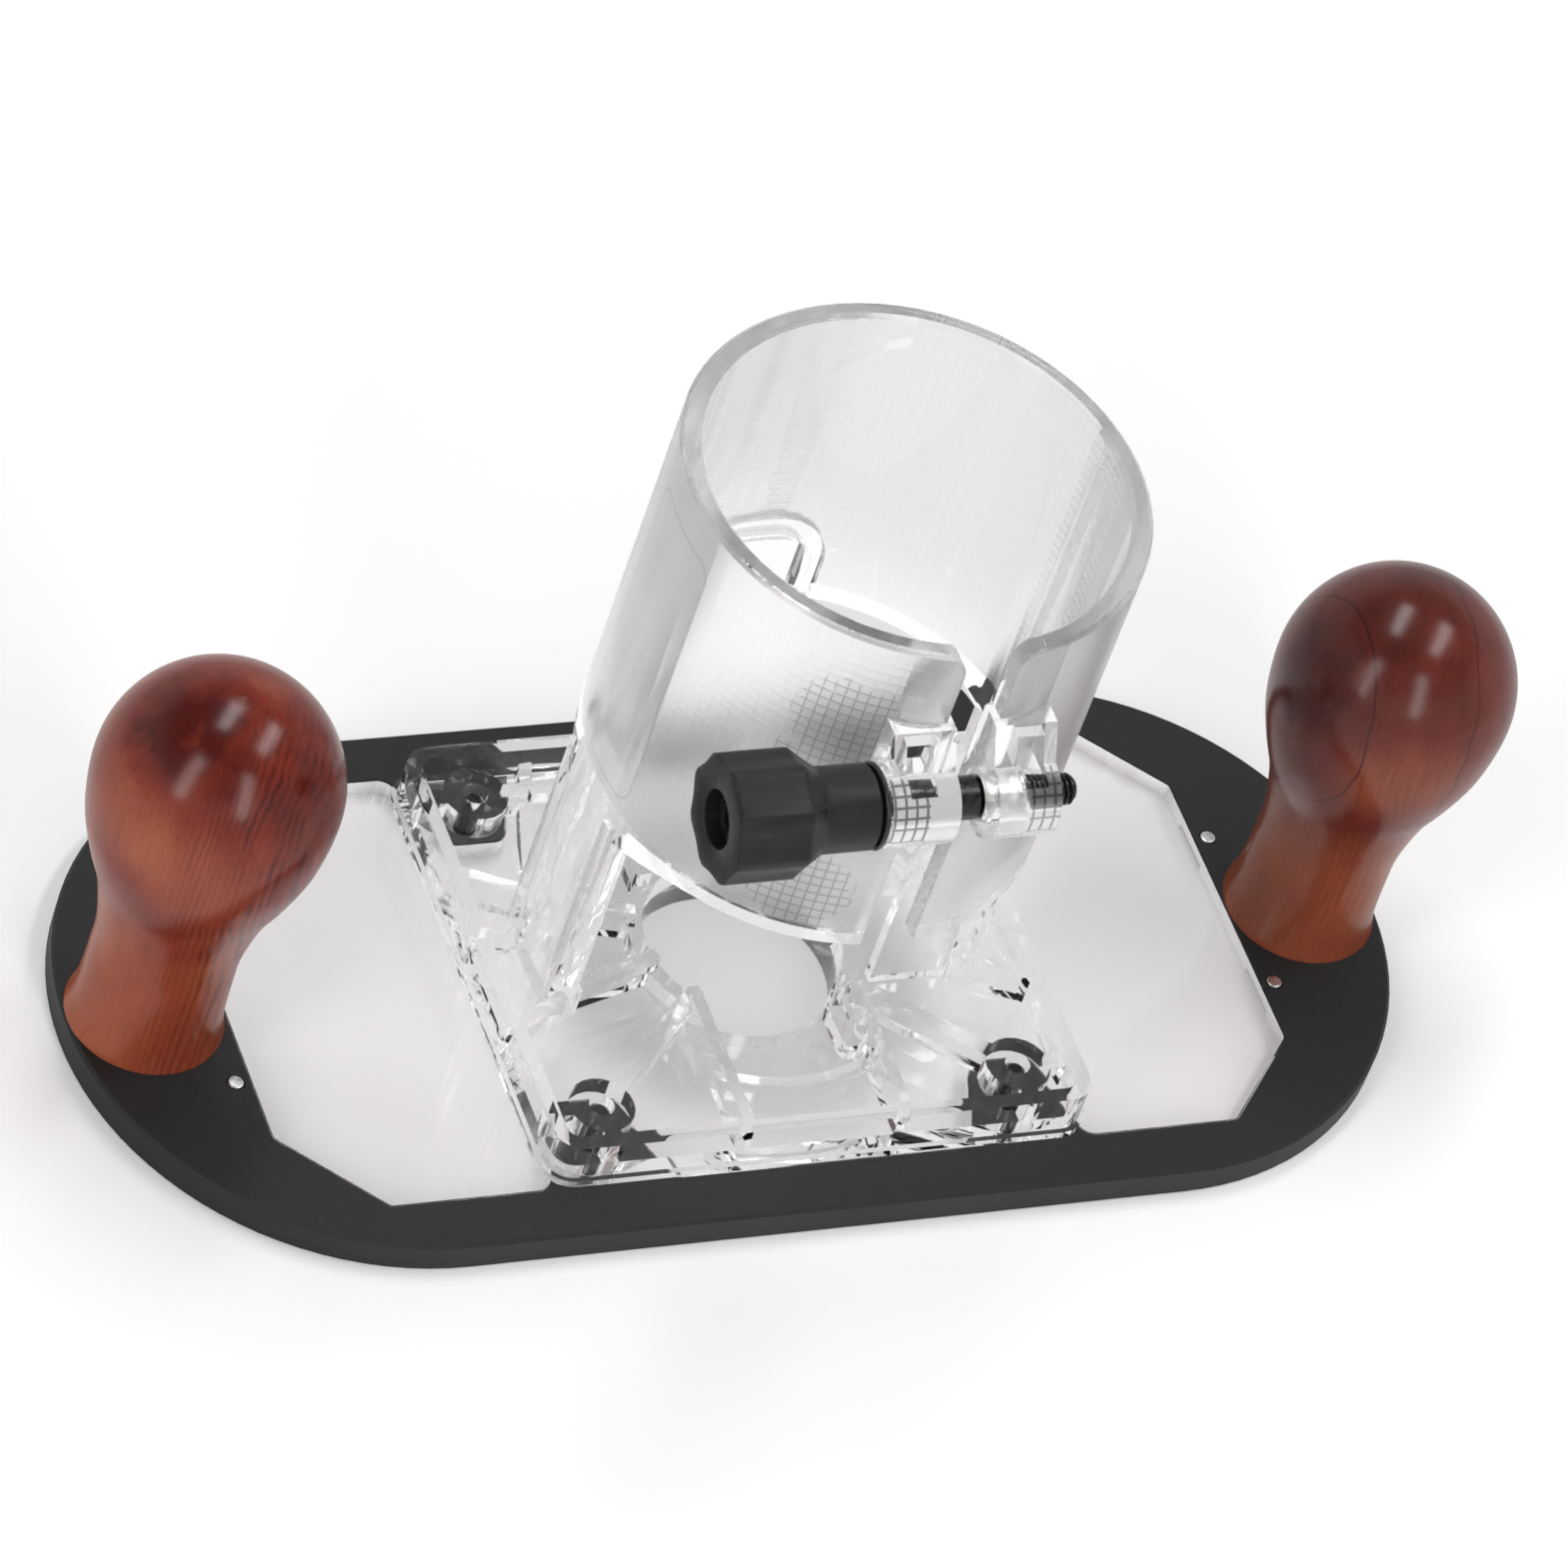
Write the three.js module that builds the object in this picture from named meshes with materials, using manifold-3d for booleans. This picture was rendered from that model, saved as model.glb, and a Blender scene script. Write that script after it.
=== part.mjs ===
// Trim router base: a black plate with a clear window, a clear moulded base with a split
// clamping sleeve, a clamp knob on a bolt, and two turned wooden handles.
// Millimetres, X along the plate, Y towards its back, Z up from the plate's underside.
import * as THREE from 'three';
import { mergeVertices } from 'three/addons/utils/BufferGeometryUtils.js';
import Module from 'manifold-3d';

const wasm = await Module();
wasm.setup();

// Clearances and cutters
const seatGap = 0.3; // between a piece and the neighbour cut to its outline
const boltGap = 0.3; // radial, round a bolt, screw or insert
const pinGap = 0.2; // radial, round a window pin
const overrun = 1; // how far a cutter passes the face that it opens
const weldStep = 0.0001; // vertices nearer than this are one

// Base plate
const plateLength = 218;
const plateWidth = 100;
const plateThickness = 5;
const plateEdgeBreak = 0.5;
const openingMargin = 24.8; // from the plate's end to the window opening's
const openingSideMargin = 8.75; // from the plate's side to the window opening's
const openingCutLength = 14.2; // the corner cut, along the plate
const openingCutWidth = 15; // the corner cut, across the plate
const openingCornerRadius = 1.5;
const lugRootWidth = 19.5;
const lugTipWidth = 9.2;
const lugTipReach = 4.7; // past the screw's centre
const lugTipRadius = 2;
const lugRootRadius = 3;

// Window sheet and its pins
const bitHoleRadius = 16;
const tabWidth = 9;
const tabThickness = 2.2;
const tabMargin = 2.6; // past the pin's centre
const pinSpacing = 30; // from pin to pin across the plate
const pinInset = 2.3; // from the opening's end to the pin's centre
const pinDiameter = 2.4;
const pinLift = 0.6; // from the underside to the pin's lower end
const pinProud = 0.15; // above the plate

// Tray of the clear base, measured up from the plate's top
const trayLength = 88.8;
const trayWidth = 80.6;
const trayHeight = 8;
const trayCornerRadius = 4.5;
const trayWall = 2.4;
const trayFloor = 2.2;
const flangeReach = 0.8;
const flangeHeight = 1.2;
const ribWidth = 2;
const sideRibOffset = 4; // of the middle side rib, towards the back
const sideRibSpread = 6.3; // of a slanting side rib between the leg and the tray's side
const ringWall = 2.5; // round the bit hole
const ringHeight = 5;
const footTurn = 29; // degrees from the sleeve's side to where its foot ends, at the back
const footRibReach = 23.2; // from the sleeve's axis to the back end of the foot's rib
const throatWidth = 24; // the bit hole's widening towards the front
const throatReach = 27.3; // from the sleeve's axis
const lipWall = 1.8; // the raised lip at the throat's end
const lipHeight = 3.8;
const loopWidth = 4.5; // the small rounded loop beside the throat
const loopLength = 10;
const loopWall = 1.1;
const loopRadius = 1.6;
const loopDistance = 17; // from the sleeve's axis, towards the front

// Screw bosses of the clear base and their screws
const screwMarginX = 10; // from the tray's end to the screws' centres
const screwMarginY = 9.1; // from the tray's side to them
const bossRadius = 5.2;
const bossHeight = 6.6;
const bossRibWidth = 2.8;
const screwRadius = 1.7;
const screwHeadRadius = 3.4;
const screwHeadHeight = 1.9;
const screwTip = 0.6;
const screwReach = 5.4; // above the plate's top
const headSink = 0.25; // of a countersunk head below the underside

// Sleeve and its legs, measured up from the plate's top
const sleeveBore = 65;
const sleeveWall = 3.3;
const sleeveTop = 107.6;
const sleeveEdgeBreak = 0.7;
const slotWidth = 8.6;
const slotLipRadius = 4;
const portTop = 44.5; // the front and back windows between the legs
const portCornerRadius = 11;
const legWidth = 18.4;
const legRibWidth = 1.8;
const legRibProud = 1.1;
const webThickness = 1.8;
const webHeight = 35;
const archWidth = 17.4; // the taller arch in the middle of the back window
const archTop = 58.9;
const archCornerRadius = 5;
const archBandWidth = 3.4;
const archBandTop = 2.2;
const archBandProud = 1.5;

// Clamp ears: a barrel about the bolt, and two cheeks that slope up to the sleeve
const boltOffset = 40; // from the sleeve's axis to the bolt's
const boltHeight = 81.9; // above the plate's top
const earGap = 6.2;
const earThickness = 9.9;
const earRadius = 6.4;
const earTop = 93.5;
const earCrest = 1; // of the cheeks' upper end, past the sleeve's outside
const earSlopeReach = 4.5; // of the cheeks' front at the bolt's height, past its axis
const earBossRadius = 4.4; // of the far ear's boss, towards the gap
const earBossLength = 1.1;
const nearBossLength = 0.9; // of the near ear's boss, towards the washer
const outerCheek = 2;
const innerCheek = 3.6;
const pocketRoof = 1.6;
const pocketLift = 5; // of the pocket's floor above the bolt's axis

// Clamp bolt, insert, washer and knob, measured along the bolt from the near ear's boss
const boltRadius = 2.4;
const boltReach = 31.5; // past the near ear's boss
const stemRadius = 3.3;
const stemGap = 0.3; // from the stem's end to the far ear's boss
const boltTip = 0.8;
const boltHeadRadius = 4.1;
const boltHeadLength = 5;
const boltSocketRadius = 2.2;
const boltSocketDepth = 2.6;
const insertWall = 0.75;
const insertLength = 6.4;
const washerThickness = 0.9;
const washerRadius = 6.6;
const washerGap = 0.3;
const collarLength = 10;
const collarRadius = 6.45;
const shoulderLength = 4.6;
const knobHeadLength = 13.8;
const knobFlatRadius = 9.1;
const knobCornerRadius = 9.6;
const knobEdgeBreak = 0.8;
const recessRadius = 4.45;
const recessDepth = 7.5;

// Handles, their inserts and bolts
const handleSetback = 12.3; // from the opening's end to the handle's axis
const handleHeight = 70.6;
const handleRadius = 18.9;
const handleFootRadius = 12.3;
const handleBoltRadius = 2.9;
const handleBoltHeadRadius = 5.7;
const handleBoltHeadHeight = 3;
const handleBoltReach = 20; // above the plate's top
const handleBoltTip = 1;
const handleInsertWall = 1.3;
const handleInsertLength = 14;
const handleInsertDepth = 1; // of the insert's lower end inside the handle
const handlePocketSpare = 2; // past the bolt's tip

// Height and radius shares of the handle between its foot and its crown
const handleShares = [
  [0.035, 0.617], [0.085, 0.598], [0.17, 0.59], [0.255, 0.594], [0.34, 0.642], [0.425, 0.72],
  [0.51, 0.842], [0.595, 0.942], [0.67, 0.987], [0.73, 1], [0.79, 0.978], [0.85, 0.89],
  [0.905, 0.745], [0.95, 0.56], [0.983, 0.33],
];

// Facets, in counts
const sleeveSides = 72;
const holeSides = 48;
const boltSides = 20;
const cornerSteps = 5;
const plateEndSteps = 24;
const portSteps = 10;
const handleSides = 32;
const profileSteps = 22;
const knobFlats = 8;
const knobStepsPerFlat = 6;

const sleeveRadius = sleeveBore / 2;
const sleeveOuter = sleeveRadius + sleeveWall;
const openingLength = plateLength - 2 * openingMargin;
const openingWidth = plateWidth - 2 * openingSideMargin;
const screwX = trayLength / 2 - screwMarginX;
const screwY = trayWidth / 2 - screwMarginY;
const pinX = openingLength / 2 + pinInset;
const pinY = pinSpacing / 2;
const handleX = openingLength / 2 + handleSetback;
const nearFace = -(earGap / 2 + earThickness + nearBossLength);
const corners = [[1, 1], [-1, 1], [-1, -1], [1, -1]];

// The axes that an outline's own X and Y lie along, and the one that it is pushed along
const facing = {
  up: new THREE.Matrix4(),
  back: new THREE.Matrix4().makeBasis(
    new THREE.Vector3(-1, 0, 0), new THREE.Vector3(0, 0, 1), new THREE.Vector3(0, 1, 0)),
  right: new THREE.Matrix4().makeBasis(
    new THREE.Vector3(0, 1, 0), new THREE.Vector3(0, 0, 1), new THREE.Vector3(1, 0, 0)),
};

function solidOf(geometry) {
  const bare = geometry.clone();
  bare.deleteAttribute('normal');
  bare.deleteAttribute('uv');
  const merged = mergeVertices(bare, weldStep);
  const index = merged.index.array;
  const triangles = [];
  for (let i = 0; i < index.length; i += 3) {
    const [a, b, c] = [index[i], index[i + 1], index[i + 2]];
    if (a !== b && b !== c && c !== a) triangles.push(a, b, c);
  }
  return new wasm.Manifold(new wasm.Mesh({
    numProp: 3,
    vertProperties: new Float32Array(merged.attributes.position.array),
    triVerts: new Uint32Array(triangles),
  }));
}

function geometryOf(solid) {
  const mesh = solid.getMesh();
  const geometry = new THREE.BufferGeometry();
  geometry.setAttribute('position', new THREE.BufferAttribute(mesh.vertProperties, 3));
  geometry.setIndex(new THREE.BufferAttribute(mesh.triVerts, 1));
  geometry.computeVertexNormals();
  return geometry;
}

function meshOf(name, solid, material) {
  const mesh = new THREE.Mesh(geometryOf(solid), material);
  mesh.name = name;
  return mesh;
}

function finish(color, roughness, metalness = 0) {
  return new THREE.MeshStandardMaterial({ color, roughness, metalness });
}

function joined(solids) {
  return solids.reduce((whole, solid) => whole.add(solid));
}

// Turns an outline of [radius, height] pairs about Z
function turned(profile, sides) {
  const points = profile.map(([radius, height]) => new THREE.Vector2(radius, height));
  return solidOf(new THREE.LatheGeometry(points, sides).rotateX(Math.PI / 2));
}

function rod(radius, low, high, sides) {
  return turned([[0, low], [radius, low], [radius, high], [0, high]], sides);
}

function tube(inner, outer, low, high, sides) {
  return turned([[inner, low], [outer, low], [outer, high], [inner, high], [inner, low]], sides);
}

// A rod along X at the bolt's height
function crossRod(radius, low, high) {
  const geometry = new THREE.CylinderGeometry(radius, radius, high - low, boltSides);
  geometry.rotateZ(Math.PI / 2);
  geometry.translate((low + high) / 2, -boltOffset, boltHeight);
  return solidOf(geometry);
}

function block(lowX, highX, lowY, highY, lowZ, highZ) {
  const geometry = new THREE.BoxGeometry(highX - lowX, highY - lowY, highZ - lowZ);
  geometry.translate((lowX + highX) / 2, (lowY + highY) / 2, (lowZ + highZ) / 2);
  return solidOf(geometry);
}

// A wall of the tray between two points
function rib([x0, y0], [x1, y1], low, high, width = ribWidth) {
  const length = Math.hypot(x1 - x0, y1 - y0);
  const geometry = new THREE.BoxGeometry(length, width, high - low);
  geometry.rotateZ(Math.atan2(y1 - y0, x1 - x0));
  geometry.translate((x0 + x1) / 2, (y0 + y1) / 2, (low + high) / 2);
  return solidOf(geometry);
}

function rectangle(halfX, halfY, radius) {
  return [
    [halfX, -halfY, radius],
    [halfX, halfY, radius],
    [-halfX, halfY, radius],
    [-halfX, -halfY, radius],
  ];
}

// Moves each [x, y, radius] corner of a counterclockwise outline inwards
function inset(outline, distance) {
  return outline.map(([x, y, radius], i) => {
    const before = outline[(i + outline.length - 1) % outline.length];
    const after = outline[(i + 1) % outline.length];
    const into = new THREE.Vector2(x - before[0], y - before[1]).normalize();
    const out = new THREE.Vector2(after[0] - x, after[1] - y).normalize();
    const turn = into.cross(out);
    const along = distance / (1 + into.dot(out));
    return [
      x - (into.y + out.y) * along,
      y + (into.x + out.x) * along,
      Math.max(radius - Math.sign(turn) * distance, 0),
    ];
  });
}

// Rounds the [x, y, radius] corners of an outline into points
function rounded(outline, steps = cornerSteps) {
  const points = [];
  outline.forEach(([x, y, radius], i) => {
    const corner = new THREE.Vector2(x, y);
    const [beforeX, beforeY] = outline[(i + outline.length - 1) % outline.length];
    const [afterX, afterY] = outline[(i + 1) % outline.length];
    const back = new THREE.Vector2(beforeX, beforeY).sub(corner);
    const ahead = new THREE.Vector2(afterX, afterY).sub(corner);
    const room = Math.min(back.length(), ahead.length()) / 2;
    back.normalize();
    ahead.normalize();
    const half = Math.acos(THREE.MathUtils.clamp(back.dot(ahead), -1, 1)) / 2;
    const reach = Math.min(radius / Math.tan(half), room);
    if (reach === 0) {
      points.push(corner);
      return;
    }
    const centre = back.clone().add(ahead).normalize().multiplyScalar(reach / Math.cos(half));
    centre.add(corner);
    const start = back.clone().multiplyScalar(reach).add(corner).sub(centre);
    const sweep = Math.sign(ahead.cross(back)) * (Math.PI - 2 * half);
    for (let step = 0; step <= steps; step += 1) {
      const spoke = start.clone().rotateAround(new THREE.Vector2(), sweep * (step / steps));
      points.push(spoke.add(centre));
    }
  });
  return points.filter((point, i) => {
    const next = points[(i + 1) % points.length];
    return point.distanceTo(next) > weldStep;
  });
}

// A body through outlines of equally many points, each at its own height
function loft(levels) {
  const count = levels[0].points.length;
  const positions = levels.flatMap(({ points, z }) => points.flatMap(({ x, y }) => [x, y, z]));
  const cap = THREE.ShapeUtils.triangulateShape(levels[0].points, []);
  const last = count * (levels.length - 1);
  const index = [];
  cap.forEach(([a, b, c]) => index.push(c, b, a, last + a, last + b, last + c));
  for (let level = 0; level < levels.length - 1; level += 1) {
    for (let i = 0; i < count; i += 1) {
      const a = level * count + i;
      const b = level * count + ((i + 1) % count);
      index.push(a, b, b + count, a, b + count, a + count);
    }
  }
  const geometry = new THREE.BufferGeometry();
  geometry.setAttribute('position', new THREE.Float32BufferAttribute(positions, 3));
  geometry.setIndex(index);
  return solidOf(geometry);
}

// Pushes an outline of points from low to high, along the axis that its facing names
function extruded(points, low, high, axes = facing.up) {
  const shape = new THREE.Shape(points);
  const geometry = new THREE.ExtrudeGeometry(shape, { depth: high - low, bevelEnabled: false });
  geometry.translate(0, 0, low);
  geometry.applyMatrix4(axes);
  return solidOf(geometry);
}

function openingOutline() {
  const halfLength = openingLength / 2;
  const halfWidth = openingWidth / 2;
  const tipY = screwY - lugTipReach;
  const lug = (side) => [
    [side * screwX + lugRootWidth / 2, halfWidth, lugRootRadius],
    [side * screwX + lugTipWidth / 2, tipY, lugTipRadius],
    [side * screwX - lugTipWidth / 2, tipY, lugTipRadius],
    [side * screwX - lugRootWidth / 2, halfWidth, lugRootRadius],
  ];
  const backHalf = [
    [halfLength, halfWidth - openingCutWidth, openingCornerRadius],
    [halfLength - openingCutLength, halfWidth, openingCornerRadius],
    ...lug(1),
    ...lug(-1),
    [openingCutLength - halfLength, halfWidth, openingCornerRadius],
    [-halfLength, halfWidth - openingCutWidth, openingCornerRadius],
  ];
  const frontHalf = backHalf.map(([x, y, radius]) => [-x, -y, radius]);
  return [...backHalf, ...frontHalf];
}

// The space of a window tab, grown by a gap
function tabBlock(sideX, sideY, gap) {
  const inner = openingLength / 2 - tabMargin;
  const outer = pinX + tabMargin + gap;
  const halfWidth = tabWidth / 2 + gap;
  return block(
    Math.min(sideX * inner, sideX * outer), Math.max(sideX * inner, sideX * outer),
    sideY * pinY - halfWidth, sideY * pinY + halfWidth,
    gap ? -overrun : 0, tabThickness + gap);
}

// The hole for a countersunk screw that comes up through the plate
function screwHole(shank, head, headHeight) {
  return turned([
    [0, -overrun],
    [head + boltGap, -overrun],
    [head + boltGap, headSink],
    [shank + boltGap, headSink + headHeight],
    [shank + boltGap, plateThickness + overrun],
    [0, plateThickness + overrun],
  ], boltSides);
}

function countersunkScrew(shank, head, headHeight, reach, tip) {
  return turned([
    [0, headSink],
    [head, headSink],
    [shank, headSink + headHeight],
    [shank, plateThickness + reach - tip],
    [shank - tip, plateThickness + reach],
    [0, plateThickness + reach],
  ], boltSides);
}

function basePlate() {
  const edge = rectangle(plateLength / 2, plateWidth / 2, plateWidth / 2);
  const side = rounded(edge, plateEndSteps);
  let plate = loft([
    { points: side, z: 0 },
    { points: side, z: plateThickness - plateEdgeBreak },
    { points: rounded(inset(edge, plateEdgeBreak), plateEndSteps), z: plateThickness },
  ]);
  const opening = rounded(openingOutline());
  plate = plate.subtract(extruded(opening, -overrun, plateThickness + overrun));
  const pinHole = rod(pinDiameter / 2 + pinGap, -overrun, plateThickness + overrun, boltSides);
  const lugHole = screwHole(screwRadius, screwHeadRadius, screwHeadHeight);
  corners.forEach(([sideX, sideY]) => {
    plate = plate.subtract(tabBlock(sideX, sideY, seatGap));
    plate = plate.subtract(pinHole.translate(sideX * pinX, sideY * pinY, 0));
    plate = plate.subtract(lugHole.translate(sideX * screwX, sideY * screwY, 0));
  });
  const handleHole = screwHole(handleBoltRadius, handleBoltHeadRadius, handleBoltHeadHeight);
  [1, -1].forEach((side) => {
    plate = plate.subtract(handleHole.translate(side * handleX, 0, 0));
  });
  return plate;
}

function windowSheet() {
  let sheet = extruded(rounded(inset(openingOutline(), seatGap)), 0, plateThickness);
  const pinHole = rod(pinDiameter / 2 + pinGap, -overrun, plateThickness + overrun, boltSides);
  corners.forEach(([sideX, sideY]) => {
    sheet = sheet.add(tabBlock(sideX, sideY, 0));
    sheet = sheet.subtract(pinHole.translate(sideX * pinX, sideY * pinY, 0));
  });
  return sheet.subtract(rod(bitHoleRadius, -overrun, plateThickness + overrun, holeSides));
}

function trayShell() {
  const body = rectangle(trayLength / 2, trayWidth / 2, trayCornerRadius);
  const flange = inset(body, -flangeReach);
  const pocket = extruded(rounded(inset(body, trayWall)), trayFloor, trayHeight + overrun);
  const outside = joined([
    extruded(rounded(flange), 0, flangeHeight),
    extruded(rounded(body), 0, trayHeight),
  ]);
  return outside.subtract(pocket);
}

function trayRibs() {
  const wallX = trayLength / 2 - trayWall / 2;
  const wallY = trayWidth / 2 - trayWall / 2;
  const ringMiddle = bitHoleRadius + ringWall / 2;
  const throatRibX = throatWidth / 2 + ribWidth / 2;
  const throatRibY = Math.sqrt(Math.max(ringMiddle ** 2 - throatRibX ** 2, 0));
  const legEdgeX = Math.sqrt(sleeveRadius ** 2 - (legWidth / 2) ** 2);
  const bossReach = ringMiddle / Math.hypot(screwX, screwY);
  const ribs = corners.flatMap(([sideX, sideY]) => {
    const place = (x, y) => [sideX * x, sideY * y];
    const boss = place(screwX, screwY);
    const bossRib = (x, y) => rib(boss, place(x, y), 0, bossHeight, bossRibWidth);
    const bossRibs = sideY < 0
      ? [bossRib(screwX, wallY), bossRib(screwX * bossReach, screwY * bossReach)]
      : [bossRib(footRibX(screwY), screwY)];
    return [
      ...bossRibs,
      bossRib(wallX, screwY),
      rib(place(throatRibX, throatRibY), place(throatRibX, wallY), 0, trayHeight),
      rib(place(legEdgeX, legWidth / 2), place(wallX, legWidth / 2 + sideRibSpread),
        0, trayHeight),
    ];
  });
  [1, -1].forEach((side) => {
    const start = [side * sleeveRadius, sideRibOffset];
    ribs.push(rib(start, [side * wallX, sideRibOffset], 0, trayHeight));
    const inward = ringMiddle / Math.hypot(legEdgeX, legWidth / 2);
    const leg = [-legEdgeX, side * (legWidth - legRibWidth) / 2];
    ribs.push(rib(leg, [leg[0] * inward, leg[1] * inward], 0, trayHeight));
  });
  return joined(ribs);
}

// Where the foot's rib is, between the end of the sleeve's foot and the tray's back
function footRibX(y) {
  const [endX, endY] = footEnd();
  const share = (y - endY) / (trayWidth / 2 - trayWall / 2 - endY);
  return endX + (footRibReach - endX) * share;
}

function footEnd() {
  const middle = sleeveRadius + sleeveWall / 2;
  const turn = (footTurn * Math.PI) / 180;
  return [middle * Math.cos(turn), middle * Math.sin(turn)];
}

// The sleeve's low foot behind each leg, and the rib from its end to the tray's back
function feet() {
  const [endX, endY] = footEnd();
  const shell = tube(sleeveRadius, sleeveOuter, 0, ringHeight, sleeveSides);
  const feetAndRibs = [1, -1].map((side) => {
    const low = side > 0 ? endX : -sleeveOuter;
    const high = low + sleeveOuter - endX;
    const end = [side * footRibReach, trayWidth / 2 - trayWall / 2];
    return shell.intersect(block(low, high, 0, endY, 0, ringHeight))
      .add(rib([side * endX, endY], end, 0, ringHeight));
  });
  return joined(feetAndRibs);
}

function throat(radius, halfWidth, low, high) {
  const disc = rod(radius, low, high, holeSides);
  return disc.intersect(block(-halfWidth, halfWidth, -radius - overrun, 0, low, high));
}

function loopBlock(clearance, low, high) {
  const halfX = loopWidth / 2 - clearance;
  const halfY = loopLength / 2 - clearance;
  const outline = rounded(rectangle(halfX, halfY, Math.max(loopRadius - clearance, 0)));
  return extruded(outline, low, high).translate(throatWidth / 2, -loopDistance, 0);
}

function tray() {
  const ringOuter = bitHoleRadius + ringWall;
  const lipOuter = throatReach + lipWall;
  const boss = rod(bossRadius, 0, bossHeight, boltSides);
  const bore = rod(screwRadius + boltGap, -overrun, trayHeight + overrun, boltSides);
  let body = joined([
    trayShell(),
    trayRibs(),
    feet(),
    rod(ringOuter, 0, ringHeight, holeSides),
    throat(lipOuter, throatWidth / 2 + ribWidth / 2, 0, lipHeight),
    loopBlock(0, 0, trayHeight),
  ]);
  body = body.subtract(rod(bitHoleRadius, -overrun, trayHeight + overrun, holeSides));
  body = body.subtract(throat(throatReach, throatWidth / 2, -overrun, trayHeight + overrun)
    .subtract(loopBlock(0, -overrun, trayHeight + overrun)));
  body = body.subtract(loopBlock(loopWall, trayFloor, trayHeight + overrun));
  corners.forEach(([sideX, sideY]) => {
    const [x, y] = [sideX * screwX, sideY * screwY];
    body = body.add(boss.translate(x, y, 0));
    body = body.subtract(bore.translate(x, y, 0));
  });
  return body;
}

function sleeveRing() {
  const [inner, outer, top] = [sleeveRadius, sleeveOuter, sleeveTop];
  return turned([
    [inner, 0],
    [outer, 0],
    [outer, top - sleeveEdgeBreak],
    [outer - sleeveEdgeBreak, top],
    [inner + sleeveEdgeBreak, top],
    [inner, top - sleeveEdgeBreak],
    [inner, 0],
  ], sleeveSides);
}

// The window between the legs, cut from their edges outwards
function port(side) {
  const halfWidth = sleeveOuter + legRibProud + overrun;
  const outline = rounded([
    [halfWidth, -overrun, 0],
    [halfWidth, portTop, portCornerRadius],
    [-halfWidth, portTop, portCornerRadius],
    [-halfWidth, -overrun, 0],
  ], portSteps);
  const [near, far] = [legWidth / 2, halfWidth];
  const low = side > 0 ? near : -far;
  return extruded(outline, low, low + far - near, facing.back);
}

// The split at the front, its lips rounded at the top
function slot() {
  const half = slotWidth / 2;
  const lip = [];
  for (let step = 0; step <= cornerSteps; step += 1) {
    const angle = (Math.PI / 2) * (step / cornerSteps);
    const x = half + slotLipRadius * (1 - Math.cos(angle));
    lip.push(new THREE.Vector2(x, sleeveTop - slotLipRadius * (1 - Math.sin(angle))));
  }
  const mirrored = lip.map(({ x, y }) => new THREE.Vector2(-x, y)).reverse();
  const points = [
    new THREE.Vector2(half, 0),
    ...lip,
    new THREE.Vector2(half + slotLipRadius, sleeveTop + overrun),
    new THREE.Vector2(-half - slotLipRadius, sleeveTop + overrun),
    ...mirrored,
    new THREE.Vector2(-half, 0),
  ];
  const radius = sleeveOuter + overrun;
  return extruded(points, -radius, 0, facing.back);
}

function archOutline(margin, marginTop, low) {
  const half = archWidth / 2 + margin;
  return rounded([
    [half, low, 0],
    [half, archTop + marginTop, archCornerRadius + margin],
    [-half, archTop + marginTop, archCornerRadius + margin],
    [-half, low, 0],
  ]);
}

function archBand() {
  const outer = sleeveOuter + archBandProud;
  const column = extruded(
    archOutline(archBandWidth, archBandTop, portTop), 0, outer + overrun, facing.back);
  return column.intersect(tube(sleeveRadius, outer, 0, sleeveTop, sleeveSides));
}

function arch() {
  const far = sleeveOuter + archBandProud + overrun;
  return extruded(archOutline(0, 0, portTop - overrun), 0, far, facing.back);
}

function legRibs() {
  const outer = sleeveOuter + legRibProud;
  const shell = tube(sleeveRadius, outer, 0, portTop, sleeveSides);
  const edge = legWidth / 2;
  const bands = [1, -1].map((side) => {
    const [near, far] = [side * (edge - legRibWidth), side * edge];
    return block(-outer, outer, Math.min(near, far), Math.max(near, far), 0, portTop);
  });
  return shell.intersect(joined(bands));
}

// Two upright webs from the ring to the right leg's edges
function legWebs() {
  const edge = legWidth / 2;
  const end = sleeveRadius + sleeveWall / 2;
  const span = (low, high) => block(bitHoleRadius + ringWall, end, low, high, 0, webHeight);
  return span(-edge, webThickness - edge).add(span(edge - webThickness, edge))
    .intersect(rod(end, 0, webHeight, sleeveSides));
}

function sleeve() {
  let body = joined([sleeveRing(), legRibs()]);
  [1, -1].forEach((side) => {
    body = body.subtract(port(side));
  });
  return body.add(archBand()).subtract(arch()).subtract(slot());
}

// One ear's outside: round about the bolt, sloping up to its crest, and back to the sleeve
function ear(low, high) {
  const outline = [];
  const steps = holeSides / 2;
  for (let step = 0; step <= steps; step += 1) {
    const angle = Math.PI / 2 + Math.PI * (step / steps);
    outline.push(new THREE.Vector2(
      -boltOffset + earRadius * Math.cos(angle), boltHeight + earRadius * Math.sin(angle)));
  }
  outline.push(new THREE.Vector2(-sleeveRadius / 2, boltHeight - earRadius));
  outline.push(new THREE.Vector2(-sleeveRadius / 2, boltHeight + earRadius));
  const cheeks = [
    new THREE.Vector2(-boltOffset - earSlopeReach, boltHeight),
    new THREE.Vector2(-sleeveRadius / 2, boltHeight),
    new THREE.Vector2(-sleeveRadius / 2, earTop),
    new THREE.Vector2(-sleeveOuter - earCrest, earTop),
  ];
  return extruded(outline, low, high, facing.right)
    .add(extruded(cheeks, low, high, facing.right));
}

// The pocket between an ear's cheeks, above its barrel
function earPocket(low, high) {
  const front = -boltOffset - earRadius - overrun;
  return block(low, high, front, -sleeveOuter, boltHeight + pocketLift, earTop - pocketRoof);
}

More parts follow.
